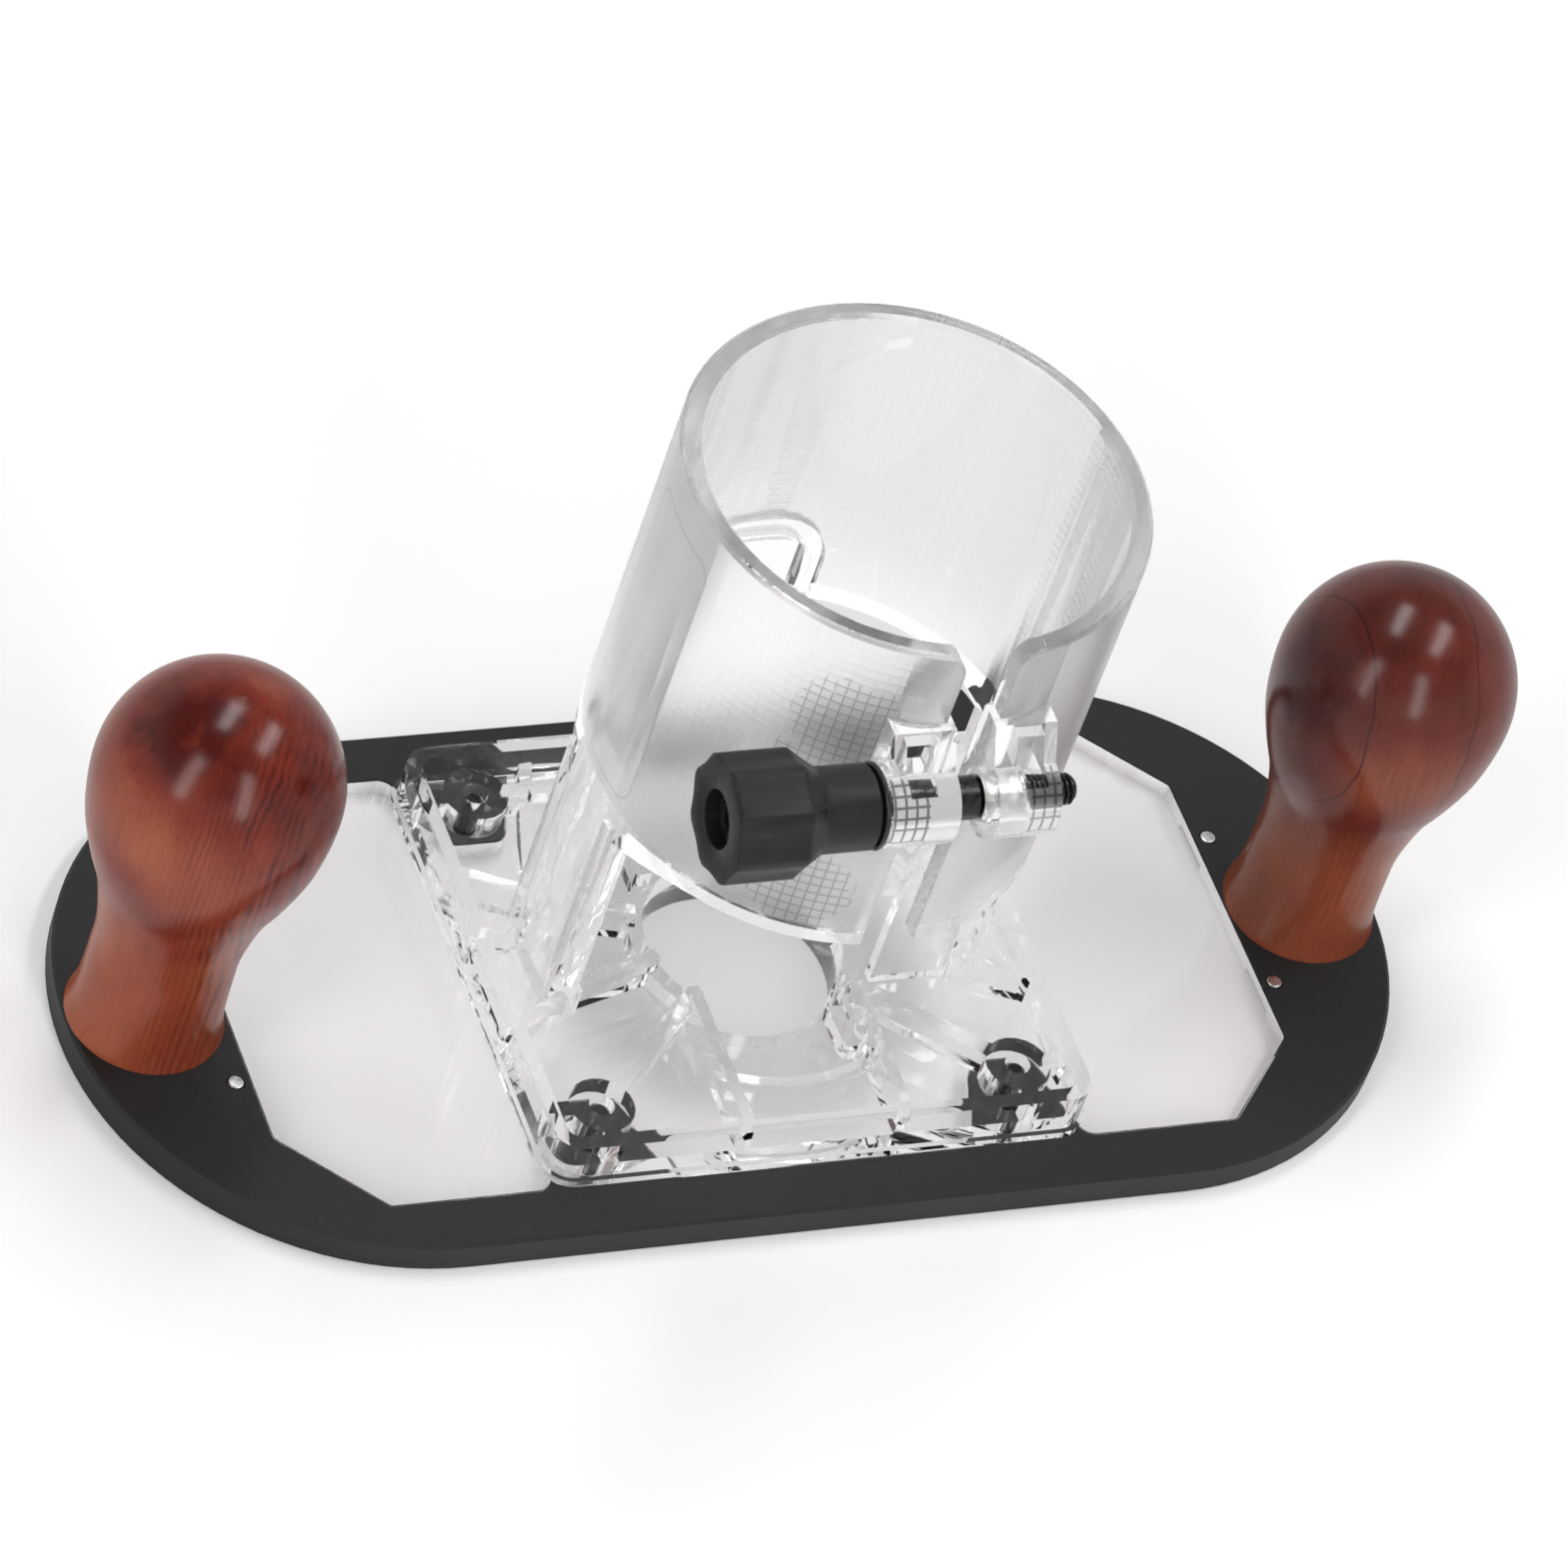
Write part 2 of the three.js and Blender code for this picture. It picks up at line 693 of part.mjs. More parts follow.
function ears() {
  const [inner, outer] = [earGap / 2, earGap / 2 + earThickness];
  const insertRadius = boltRadius + boltGap + insertWall + boltGap;
  const bossEnd = inner - earBossLength;
  return joined([
    ear(-outer, -inner),
    ear(inner, outer),
    crossRod(earBossRadius, bossEnd, inner + overrun),
    crossRod(earRadius, nearFace, overrun - outer),
  ])
    .subtract(earPocket(outerCheek - outer, -inner - innerCheek))
    .subtract(earPocket(inner + innerCheek, outer - outerCheek))
    .subtract(rod(sleeveRadius, 0, sleeveTop, sleeveSides))
    .subtract(crossRod(stemRadius + boltGap, nearFace - overrun, 0))
    .subtract(crossRod(boltRadius + boltGap, inner, outer + overrun))
    .subtract(crossRod(insertRadius, bossEnd - overrun, bossEnd + insertLength + boltGap));
}

function routerBase() {
  return joined([tray(), sleeve(), legWebs(), ears()]);
}

function handle() {
  const shares = handleShares.map(([height, radius]) => [
    height * handleHeight, radius * handleRadius]);
  const waypoints = [[handleFootRadius, 0], ...shares.map(([z, r]) => [r, z]), [0, handleHeight]];
  const spline = new THREE.SplineCurve(waypoints.map(([r, z]) => new THREE.Vector2(r, z)));
  const side = spline.getPoints(profileSteps).map(({ x, y }) => [Math.max(x, 0), y]);
  const insertRadius = handleBoltRadius + boltGap + handleInsertWall + boltGap;
  const depth = handleBoltReach + handlePocketSpare;
  return turned([[0, 0], ...side], handleSides)
    .subtract(rod(insertRadius, -overrun, depth, boltSides));
}

function clampBolt() {
  const head = washerGap + washerThickness + washerGap + collarLength + knobHeadLength
    - recessDepth + boltGap;
  const top = head + boltHeadLength;
  const socket = new THREE.CylinderGeometry(
    boltSocketRadius, boltSocketRadius, boltSocketDepth + overrun, 6);
  socket.rotateX(Math.PI / 2);
  socket.translate(0, 0, top - boltSocketDepth + (boltSocketDepth + overrun) / 2);
  const stemEnd = nearFace - (earGap / 2 - earBossLength - stemGap);
  return turned([
    [0, -boltReach],
    [boltRadius - boltTip, -boltReach],
    [boltRadius, -boltReach + boltTip],
    [boltRadius, stemEnd],
    [stemRadius, stemEnd],
    [stemRadius, head],
    [boltHeadRadius, head],
    [boltHeadRadius, top],
    [0, top],
  ], boltSides).subtract(solidOf(socket));
}

// An outline with flats, its corners turned down to a circle
function flatted(flatRadius, cornerRadius) {
  const points = [];
  const steps = knobFlats * knobStepsPerFlat;
  for (let step = 0; step < steps; step += 1) {
    const angle = 2 * Math.PI * (step / steps);
    const fromFlat = ((step % knobStepsPerFlat) / knobStepsPerFlat - 1 / 2)
      * ((2 * Math.PI) / knobFlats);
    const radius = Math.min(flatRadius / Math.cos(fromFlat), cornerRadius);
    points.push(new THREE.Vector2(radius * Math.cos(angle), radius * Math.sin(angle)));
  }
  return points;
}

function clampKnob() {
  const low = washerGap + washerThickness + washerGap;
  const shoulder = low + collarLength;
  const top = shoulder + knobHeadLength;
  const collar = flatted(collarRadius, collarRadius);
  const head = flatted(knobFlatRadius, knobCornerRadius);
  const end = flatted(knobFlatRadius - knobEdgeBreak, knobCornerRadius - knobEdgeBreak);
  return loft([
    { points: collar, z: low },
    { points: collar, z: shoulder - shoulderLength / 2 },
    { points: head, z: shoulder + shoulderLength / 2 },
    { points: head, z: top - knobEdgeBreak },
    { points: end, z: top },
  ])
    .subtract(rod(stemRadius + boltGap, low - overrun, top, boltSides))
    .subtract(rod(recessRadius, top - recessDepth, top + overrun, boltSides));
}

function clampGroup(blackPlastic, blackSteel, brass) {
  const group = new THREE.Group();
  const washer = tube(stemRadius + boltGap, washerRadius, washerGap,
    washerGap + washerThickness, boltSides);
  const insertInner = boltRadius + boltGap;
  const insertHigh = nearFace - (earGap / 2 - earBossLength);
  const insert = tube(insertInner, insertInner + insertWall, insertHigh - insertLength,
    insertHigh, boltSides);
  group.add(
    meshOf('clamp_knob', clampKnob(), blackPlastic),
    meshOf('clamp_bolt', clampBolt(), blackSteel),
    meshOf('clamp_washer', washer, blackPlastic),
    meshOf('clamp_insert', insert, brass),
  );
  group.position.set(nearFace, -boltOffset, plateThickness + boltHeight);
  group.rotation.y = -Math.PI / 2;
  return group;
}

function handleGroup(name, side, wood, steel, brass) {
  const group = new THREE.Group();
  const insertInner = handleBoltRadius + boltGap;
  const insert = tube(insertInner, insertInner + handleInsertWall, handleInsertDepth,
    handleInsertDepth + handleInsertLength, boltSides);
  const bolt = countersunkScrew(handleBoltRadius, handleBoltHeadRadius, handleBoltHeadHeight,
    handleBoltReach, handleBoltTip);
  const pieces = [
    meshOf(`handle_${name}`, handle(), wood),
    meshOf(`handle_insert_${name}`, insert, brass),
    meshOf(`handle_bolt_${name}`, bolt.translate(0, 0, -plateThickness), steel),
  ];
  group.add(...pieces);
  group.position.set(side * handleX, 0, plateThickness);
  return group;
}

function fasteners(steel) {
  const group = new THREE.Group();
  const pin = rod(pinDiameter / 2, pinLift, plateThickness + pinProud, boltSides);
  const screw = countersunkScrew(screwRadius, screwHeadRadius, screwHeadHeight, screwReach,
    screwTip);
  corners.forEach(([sideX, sideY], i) => {
    const pinMesh = meshOf(`window_pin_${i + 1}`, pin, steel);
    pinMesh.position.set(sideX * pinX, sideY * pinY, 0);
    const screwMesh = meshOf(`base_screw_${i + 1}`, screw, steel);
    screwMesh.position.set(sideX * screwX, sideY * screwY, 0);
    group.add(pinMesh, screwMesh);
  });
  return group;
}

function trimRouterBase() {
  const blackPlate = finish('#2a2a2b', 0.62);
  const clearSheet = finish('#e6e4e4', 0.12);
  const clearPlastic = finish('#d9dcdc', 0.1);
  const blackPlastic = finish('#1d1d1f', 0.5);
  const wood = finish('#7d3320', 0.25);
  const steel = finish('#c4c4c6', 0.3, 1);
  const blackSteel = finish('#232325', 0.4, 0.6);
  const brass = finish('#c79a4b', 0.3, 1);

  const assembly = new THREE.Group();
  const moulding = meshOf('router_base', routerBase(), clearPlastic);
  moulding.position.z = plateThickness;
  assembly.add(
    meshOf('base_plate', basePlate(), blackPlate),
    meshOf('acrylic_window', windowSheet(), clearSheet),
    moulding,
    fasteners(steel),
    handleGroup('left', -1, wood, steel, brass),
    handleGroup('right', 1, wood, steel, brass),
    clampGroup(blackPlastic, blackSteel, brass),
  );
  return assembly;
}

export default trimRouterBase();
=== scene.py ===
import math

import bmesh
import bpy
from mathutils import Matrix, Vector


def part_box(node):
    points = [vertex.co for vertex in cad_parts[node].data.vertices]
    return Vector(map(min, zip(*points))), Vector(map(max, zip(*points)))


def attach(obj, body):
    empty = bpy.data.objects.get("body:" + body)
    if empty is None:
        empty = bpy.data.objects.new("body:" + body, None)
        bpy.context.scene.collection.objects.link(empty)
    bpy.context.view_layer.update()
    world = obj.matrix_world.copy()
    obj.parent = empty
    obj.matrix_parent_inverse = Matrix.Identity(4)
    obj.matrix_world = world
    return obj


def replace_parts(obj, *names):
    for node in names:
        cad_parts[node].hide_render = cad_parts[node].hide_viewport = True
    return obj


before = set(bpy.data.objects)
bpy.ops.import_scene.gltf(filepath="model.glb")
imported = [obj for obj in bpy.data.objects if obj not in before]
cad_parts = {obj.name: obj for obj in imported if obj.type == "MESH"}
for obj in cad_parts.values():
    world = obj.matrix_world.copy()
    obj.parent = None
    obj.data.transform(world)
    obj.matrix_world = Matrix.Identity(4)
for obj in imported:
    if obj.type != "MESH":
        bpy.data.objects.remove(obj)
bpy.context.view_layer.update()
scene = bpy.context.scene
millimetre = 0.001


# Camera, at the photograph's viewing angle

camera = {
    "place": (-0.62873, -0.91373, 1.14852),
    "yaw": 34.408,
    "pitch": 44.891,
    "roll": 20.846,
    "lens": 238.85,
    "sensor": 36,
    "clipEnd": 20,
}


def makeCamera():
    data = bpy.data.cameras.new("camera")
    data.lens = camera["lens"]
    data.sensor_width = camera["sensor"]
    data.clip_end = camera["clipEnd"]
    made = bpy.data.objects.new("camera", data)
    turn = Matrix.Rotation(-math.radians(camera["yaw"]), 4, "Z")
    tilt = Matrix.Rotation(math.radians(90 - camera["pitch"]), 4, "X")
    roll = Matrix.Rotation(math.radians(camera["roll"]), 4, "Z")
    made.matrix_world = Matrix.Translation(camera["place"]) @ turn @ tilt @ roll
    scene.collection.objects.link(made)
    scene.camera = made


# Nodes of a material

def newMaterial(name):
    material = bpy.data.materials.new(name)
    material.use_nodes = True
    shader = material.node_tree.nodes["Principled BSDF"]
    return material, material.node_tree, shader


def setSocket(tree, socket, value):
    if isinstance(value, bpy.types.NodeSocket):
        tree.links.new(value, socket)
    else:
        socket.default_value = value


def addNode(tree, kind, inputs=None, **settings):
    made = tree.nodes.new(kind)
    for key, value in settings.items():
        setattr(made, key, value)
    for key, value in (inputs or {}).items():
        setSocket(tree, made.inputs[key], value)
    return made


def calc(tree, operation, *values):
    made = addNode(tree, "ShaderNodeMath", dict(enumerate(values)), operation=operation)
    return made.outputs[0]


def largest(tree, first, *others):
    for other in others:
        first = calc(tree, "MAXIMUM", first, other)
    return first


def vectorCalc(tree, operation, *values):
    made = addNode(tree, "ShaderNodeVectorMath", dict(enumerate(values)), operation=operation)
    return made.outputs["Value" if operation in ("LENGTH", "DISTANCE") else "Vector"]


def split(tree, vector):
    return addNode(tree, "ShaderNodeSeparateXYZ", {0: vector}).outputs


def turned(tree, vector, degrees):
    made = addNode(tree, "ShaderNodeVectorRotate", {
        "Vector": vector, "Angle": math.radians(degrees)}, rotation_type="Z_AXIS")
    return made.outputs[0]


def mapped(tree, value, low, high, outLow=0.0, outHigh=1.0):
    made = addNode(tree, "ShaderNodeMapRange", {
        "Value": value, "From Min": low, "From Max": high,
        "To Min": outLow, "To Max": outHigh}, interpolation_type="SMOOTHSTEP")
    return made.outputs["Result"]


def ownPlace(tree):
    return addNode(tree, "ShaderNodeTexCoord").outputs["Object"]


def scaledPlace(tree, scale=(1, 1, 1), offset=(0, 0, 0)):
    made = addNode(tree, "ShaderNodeMapping", {
        "Vector": ownPlace(tree), "Scale": scale, "Location": offset})
    return made.outputs["Vector"]


def noise(tree, place, scale, detail=4):
    made = addNode(tree, "ShaderNodeTexNoise", {
        "Vector": place, "Scale": scale, "Detail": detail, "Roughness": 0.55})
    return made.outputs["Fac"]


def ramp(tree, value, stops):
    made = addNode(tree, "ShaderNodeValToRGB", {"Fac": value})
    elements = made.color_ramp.elements
    while len(elements) < len(stops):
        elements.new(0.5)
    for element, (position, colour) in zip(elements, stops):
        element.position = position
        element.color = (*colour, 1)
    return made.outputs["Color"]


def blended(tree, share, first, second):
    made = addNode(tree, "ShaderNodeMix", data_type="RGBA")
    for index, value in ((0, share), (6, first), (7, second)):  # the colour mix's own sockets
        setSocket(tree, made.inputs[index], value)
    return made.outputs[2]


def bumped(tree, shader, height, depth):
    made = addNode(tree, "ShaderNodeBump", {"Height": height, "Distance": depth})
    tree.links.new(made.outputs["Normal"], shader.inputs["Normal"])


def feed(tree, shader, **sockets):
    for key, value in sockets.items():
        setSocket(tree, shader.inputs[key.replace("_", " ")], value)


# Distance from the origin, measured along the axes that are 1 in the plane
def planeDistance(tree, place, plane):
    return vectorCalc(tree, "LENGTH", vectorCalc(tree, "MULTIPLY", place, plane))


# Lets the lamps' light through a clear material, which refraction alone would shut out
def letLightThrough(tree, shader, share):
    clear = addNode(tree, "ShaderNodeBsdfTransparent")
    shadow = addNode(tree, "ShaderNodeLightPath").outputs["Is Shadow Ray"]
    mix = addNode(tree, "ShaderNodeMixShader", {
        0: calc(tree, "MULTIPLY", shadow, share), 1: shader.outputs[0], 2: clear.outputs[0]})
    output = tree.nodes["Material Output"]
    tree.links.new(mix.outputs[0], output.inputs["Surface"])


# Rays of the named kinds that haven't met a matt surface on their way from the camera
def seenBy(tree, names):
    rays = addNode(tree, "ShaderNodeLightPath").outputs
    found = largest(tree, *(rays[name] for name in names))
    return calc(tree, "MULTIPLY", found, calc(tree, "LESS_THAN", rays["Diffuse Depth"], 0.5))


# Black plate

anodised = {
    "tones": [(0.3, (0.013, 0.013, 0.0135)), (0.7, (0.021, 0.021, 0.0215))],
    "grain": 2600,
    "cloud": 38,
    "shares": (0.6, 0.4),  # of grain and cloud
    "roughness": (0.5, 0.6),
    "specular": 0.3,
    "relief": 0.03 * millimetre,
}


def anodisedBlack():
    material, tree, shader = newMaterial("anodised_black")
    place = scaledPlace(tree)
    grained = noise(tree, place, anodised["grain"], 3)
    cloud = noise(tree, place, anodised["cloud"])
    grainShare, cloudShare = anodised["shares"]
    tone = calc(tree, "ADD", calc(tree, "MULTIPLY", grained, grainShare),
                calc(tree, "MULTIPLY", cloud, cloudShare))
    feed(tree, shader, Base_Color=ramp(tree, tone, anodised["tones"]),
         Roughness=mapped(tree, cloud, 0.3, 0.7, *anodised["roughness"]),
         Specular_IOR_Level=anodised["specular"])
    bumped(tree, shader, grained, anodised["relief"])
    return material


# Clear sheet in the plate's window

sheet = {
    "tones": [(0.3, (0.975, 0.94, 0.95)), (0.7, (0.99, 0.965, 0.97))],
    "cloud": 22,
    "waves": 90,
    "roughness": (0.03, 0.07),
    "transmission": 0.97,
    "ior": 1.49,
    "relief": 0.01 * millimetre,
    "lightThrough": 0.95,
}


def clearSheet():
    material, tree, shader = newMaterial("clear_sheet")
    place = scaledPlace(tree)
    cloud = noise(tree, place, sheet["cloud"], 3)
    feed(tree, shader, Base_Color=ramp(tree, cloud, sheet["tones"]),
         Roughness=mapped(tree, cloud, 0.35, 0.65, *sheet["roughness"]),
         Transmission_Weight=sheet["transmission"], IOR=sheet["ior"])
    bumped(tree, shader, noise(tree, place, sheet["waves"], 2), sheet["relief"])
    letLightThrough(tree, shader, sheet["lightThrough"])
    return material


# Clear moulded base, with a fine grid on the sleeve's outside and on the clamp's barrels

moulded = {
    "clearTone": (0.98, 0.98, 0.98, 1),
    "skinTone": (0.81, 0.81, 0.81, 1),
    "lineTone": (0.25, 0.25, 0.25, 1),
    "ior": 1.24,
    "lightThrough": 0.95,
    "relief": 0.008 * millimetre,
    "softEdge": 0.1 * millimetre,
    "cell": 1.7 * millimetre,
    # The sleeve's frosted outside
    "radius": 35.8 * millimetre,
    "skin": (35.3 * millimetre, 36.4 * millimetre),
    "low": 52 * millimetre,
    "skinRoughness": (0.02, 0.3),
    "skinTransmission": 0.93,
    "sleeveLines": (0.75, 0.95),
    # Where its grid stands out: a point and a reach
    "patches": [
        ((-0.0172, -0.0313, 0.095), 9 * millimetre),
        ((-0.0205, -0.0294, 0.083), 6 * millimetre),
        ((-0.0155, -0.0323, 0.0595), 8 * millimetre),
    ],
    "patchFade": (3.5 * millimetre, 5 * millimetre),
    "patchBends": 260,
    "patchWander": 9 * millimetre,
    "gridShares": (0.06, 0.85),  # faint, and in the patches
    # Smooth strips without grid, in a thin outline
    "strips": [
        {"turn": 6, "middle": 81 * millimetre, "half": (3.75 * millimetre, 25 * millimetre),
         "corner": 3.7 * millimetre},
        {"turn": 180, "middle": 80 * millimetre, "half": (9.4 * millimetre, 25.5 * millimetre),
         "corner": 3 * millimetre},
    ],
    "outline": 0.3 * millimetre,
    "outlineShare": 0.5,
    # The clamp's barrels, about the bolt
    "barrel": 6.4 * millimetre,
    "barrelSkin": (6.1 * millimetre, 6.6 * millimetre),
    "barrelLow": -1.5 * millimetre,
    "barrelEnd": 8 * millimetre,
    "barrelRoughness": 0.35,
    "barrelTransmission": 0.5,
    "barrelLines": (0.68, 0.85),
    "farMilk": 0.3,
}


def cellEdge(tree, along):
    cell = calc(tree, "DIVIDE", along, moulded["cell"])
    centred = calc(tree, "SUBTRACT", calc(tree, "FRACT", cell), 0.5)
    return calc(tree, "MULTIPLY", calc(tree, "ABSOLUTE", centred), 2)


def boltAxis():
    low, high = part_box("clamp_washer")
    return (low.y + high.y) / 2, (low.z + high.z) / 2


# Distance round the sleeve's surface from a turn about Z, in degrees
def aroundSleeve(tree, place, turn):
    parts = split(tree, turned(tree, place, -turn))
    return calc(tree, "MULTIPLY", calc(tree, "ARCTAN2", parts["Y"], parts["X"]),
                moulded["radius"])


# How far a point is outside a smooth strip's outline
def stripDistance(tree, place, height, strip):
    across = calc(tree, "ABSOLUTE", aroundSleeve(tree, place, strip["turn"]))
    upward = calc(tree, "ABSOLUTE", calc(tree, "SUBTRACT", height, strip["middle"]))
    past = [calc(tree, "MAXIMUM", calc(tree, "SUBTRACT", along, half - strip["corner"]), 0)
            for along, half in zip((across, upward), strip["half"])]
    corner = addNode(tree, "ShaderNodeCombineXYZ", {"X": past[0], "Y": past[1]}).outputs[0]
    return calc(tree, "SUBTRACT", vectorCalc(tree, "LENGTH", corner), strip["corner"])


# 1 above a limit, or below it where downwards, with a soft edge
def beyond(tree, value, limit, downwards=False):
    edge = -moulded["softEdge"] if downwards else moulded["softEdge"]
    return mapped(tree, value, limit, limit + edge)


def within(tree, value, low, high):
    return calc(tree, "MULTIPLY", beyond(tree, value, low), beyond(tree, value, high, True))


# Where the sleeve's frosted outside is, with the lines of its grid and of its smooth strips
def sleeveSkin(tree, place):
    height = split(tree, place)["Z"]
    radius = planeDistance(tree, place, (1, 1, 0))
    skin = calc(tree, "MULTIPLY", within(tree, radius, *moulded["skin"]),
                mapped(tree, height, moulded["low"], moulded["low"] + millimetre))
    grid = largest(tree, cellEdge(tree, aroundSleeve(tree, place, 0)), cellEdge(tree, height))
    lines = mapped(tree, grid, *moulded["sleeveLines"])
    edges = 0
    for strip in moulded["strips"]:
        distance = stripDistance(tree, place, height, strip)
        lines = calc(tree, "MULTIPLY", lines, beyond(tree, distance, 0))
        edge = mapped(tree, calc(tree, "ABSOLUTE", distance), moulded["outline"], 0)
        edges = largest(tree, edges, edge)
    return skin, calc(tree, "MULTIPLY", lines, skin), calc(tree, "MULTIPLY", edges, skin)


# The frosted fronts of the clamp's barrels, how milky they are, and the grid at their outer ends
def barrelSkin(tree, place):
    centred = vectorCalc(tree, "SUBTRACT", place, (0, *boltAxis()))
    parts = split(tree, centred)
    around = calc(tree, "MULTIPLY", calc(tree, "ARCTAN2", parts["Z"], parts["Y"]),
                  moulded["barrel"])
    grid = largest(tree, cellEdge(tree, parts["X"]), cellEdge(tree, around))
    front = calc(tree, "MULTIPLY", mapped(tree, parts["Y"], 0, -millimetre),
                 beyond(tree, parts["Z"], moulded["barrelLow"]))
    reach = planeDistance(tree, centred, (0, 1, 1))
    skin = calc(tree, "MULTIPLY", front, within(tree, reach, *moulded["barrelSkin"]))
    end = beyond(tree, calc(tree, "ABSOLUTE", parts["X"]), moulded["barrelEnd"])
    lines = calc(tree, "MULTIPLY", mapped(tree, grid, *moulded["barrelLines"]), end)
    near = mapped(tree, parts["X"], millimetre, 0, moulded["farMilk"], 1)
    return skin, calc(tree, "MULTIPLY", skin, near), calc(tree, "MULTIPLY", lines, skin)


# How strongly the sleeve's grid is drawn
def gridShare(tree, place):
    bends = noise(tree, place, moulded["patchBends"], 3)
    wander = calc(tree, "MULTIPLY", bends, moulded["patchWander"])
    share, clear = moulded["gridShares"]
    inner, outer = moulded["patchFade"]
    for centre, reach in moulded["patches"]:
        away = calc(tree, "ADD", vectorCalc(tree, "DISTANCE", place, centre), wander)
        share = largest(tree, share, mapped(tree, away, reach + outer, reach + inner, 0, clear))
    return share


def clearMoulding():
    material, tree, shader = newMaterial("clear_moulding")
    place = ownPlace(tree)
    skin, lines, edges = sleeveSkin(tree, place)
    barrel, milk, barrelLines = barrelSkin(tree, place)
    drawn = largest(tree, calc(tree, "MULTIPLY", lines, gridShare(tree, place)),
                    calc(tree, "MULTIPLY", edges, moulded["outlineShare"]), barrelLines)
    plain = blended(tree, skin, moulded["clearTone"], moulded["skinTone"])
    rough = largest(tree, mapped(tree, skin, 0, 1, *moulded["skinRoughness"]),
                    mapped(tree, barrel, 0, 1, 0, moulded["barrelRoughness"]))
    clear = calc(tree, "MINIMUM", mapped(tree, skin, 0, 1, 1, moulded["skinTransmission"]),
                 mapped(tree, milk, 0, 1, 1, moulded["barrelTransmission"]))
    feed(tree, shader, Base_Color=blended(tree, drawn, plain, moulded["lineTone"]),
         Roughness=rough, Transmission_Weight=clear, IOR=moulded["ior"])
    sunk = largest(tree, lines, edges, barrelLines)
    bumped(tree, shader, calc(tree, "SUBTRACT", 1, sunk), moulded["relief"])
    letLightThrough(tree, shader, moulded["lightThrough"])
    return material


# Wood of the handles. A stain is a point, a reach and a depth, which is below 0 where the wood
# is lighter. A ring is a radius about ringCentre and a strength.

woods = {
    "left": {
        "offset": (0.02, 0.03, 0.0),
        "lean": 34,
        "tone": 0.47,
        "stops": [(0.05, (0.07, 0.005, 0.003)), (0.5, (0.2, 0.025, 0.013)),
                  (0.95, (0.36, 0.09, 0.038))],
        "lines": 0.8,
        "lined": ((-0.088, -0.019, 0.05), 24 * millimetre),
        "stains": [
            ((-0.1075, 0.003, 0.0755), 15 * millimetre, 0.45),
            ((-0.1105, -0.004, 0.0715), 9 * millimetre, 0.3),
            ((-0.1, -0.009, 0.0765), 10 * millimetre, 0.15),
            ((-0.088, -0.0155, 0.068), 19 * millimetre, 0.3),
            ((-0.1143, -0.0107, 0.0603), 14 * millimetre, -0.4),
            ((-0.109, -0.0165, 0.0525), 15 * millimetre, -0.35),
        ],
        "rings": [],
    },
    "right": {
        "offset": (0.11, -0.05, 0.04),
        "lean": 50,
        "tone": 0.36,
        "stops": [(0.05, (0.055, 0.008, 0.006)), (0.5, (0.15, 0.025, 0.016)),
                  (0.95, (0.3, 0.078, 0.034))],
        "lines": 0.25,
        "lined": ((0.1, -0.02, 0.06), 30 * millimetre),
        "stains": [
            ((0.078, -0.0037, 0.0652), 16 * millimetre, 0.2),
            ((0.076, -0.0037, 0.0592), 5 * millimetre, 0.5),
            ((0.0898, -0.0198, 0.0532), 16 * millimetre, -0.5),
            ((0.1012, -0.0146, 0.0713), 14 * millimetre, 0.1),
        ],
        "rings": [(22.5 * millimetre, 0.85), (38.4 * millimetre, 0.7), (35.6 * millimetre, 0.3),
                  (13 * millimetre, 0.3), (17.5 * millimetre, 0.2)],
        "ringCentre": (0.0663, -0.0019, 0.0578),
    },
}
grain = {
    # Noises: scale, stretch along the handle and detail
    "cloud": (36, 0.35, 3),
    "streak": (150, 0.3, 3),
    "fibre": (1900, 0.04, 3),
    "layers": (45, 0.1, 4),
    "breaks": (300, 0.25, 3),
    "cloudTone": 0.2,
    "streakTone": 0.08,
    "fibreTone": 0.3,
    "lineTone": (0.04, 0.004, 0.003, 1),
    "layer": 1.05 * millimetre,
    "layerWander": 9 * millimetre,
    "linedFlat": (1, 1, 0.3),
    "stainWander": 2.5 * millimetre,
    "paleFoot": (45 * millimetre, 20 * millimetre, 0.4),  # from, full at, how much
    "ringFlat": (1, 1, 0.74),
    "ringHalf": 0.32 * millimetre,
    "ringBends": 55,
    "ringWander": 1 * millimetre,
    "ringFoot": (34 * millimetre, 44 * millimetre),  # the rings fade out below these heights
    "relief": 0.01 * millimetre,
}
lacquer = {"roughness": 0.5, "specular": 0.02, "coat": 0.6, "coatRoughness": 0.2}


def woodNoise(tree, wood, kind):
    scale, stretch, detail = grain[kind]
    place = scaledPlace(tree, scale=(1, 1, stretch), offset=wood["offset"])
    return noise(tree, place, scale, detail)


# How light the wood is, from 0 to 1
def woodTone(tree, place, streak, wood):
    shade = mapped(tree, woodNoise(tree, wood, "cloud"), 0.3, 0.7,
                   -grain["cloudTone"], grain["cloudTone"])
    tone = calc(tree, "ADD", shade, wood["tone"])
    tone = calc(tree, "ADD", tone, mapped(tree, streak, 0.25, 0.75,
                                          -grain["streakTone"], grain["streakTone"]))
    start, full, amount = grain["paleFoot"]
    foot = mapped(tree, split(tree, place)["Z"], start, full, 0, amount)
    tone = calc(tree, "ADD", tone, foot)
    wander = mapped(tree, streak, 0.25, 0.75, -grain["stainWander"], grain["stainWander"])
    for centre, reach, depth in wood["stains"]:
        away = calc(tree, "ADD", vectorCalc(tree, "DISTANCE", place, centre), wander)
        tone = calc(tree, "SUBTRACT", tone, mapped(tree, away, reach, reach * 0.1, 0, depth))
    return tone


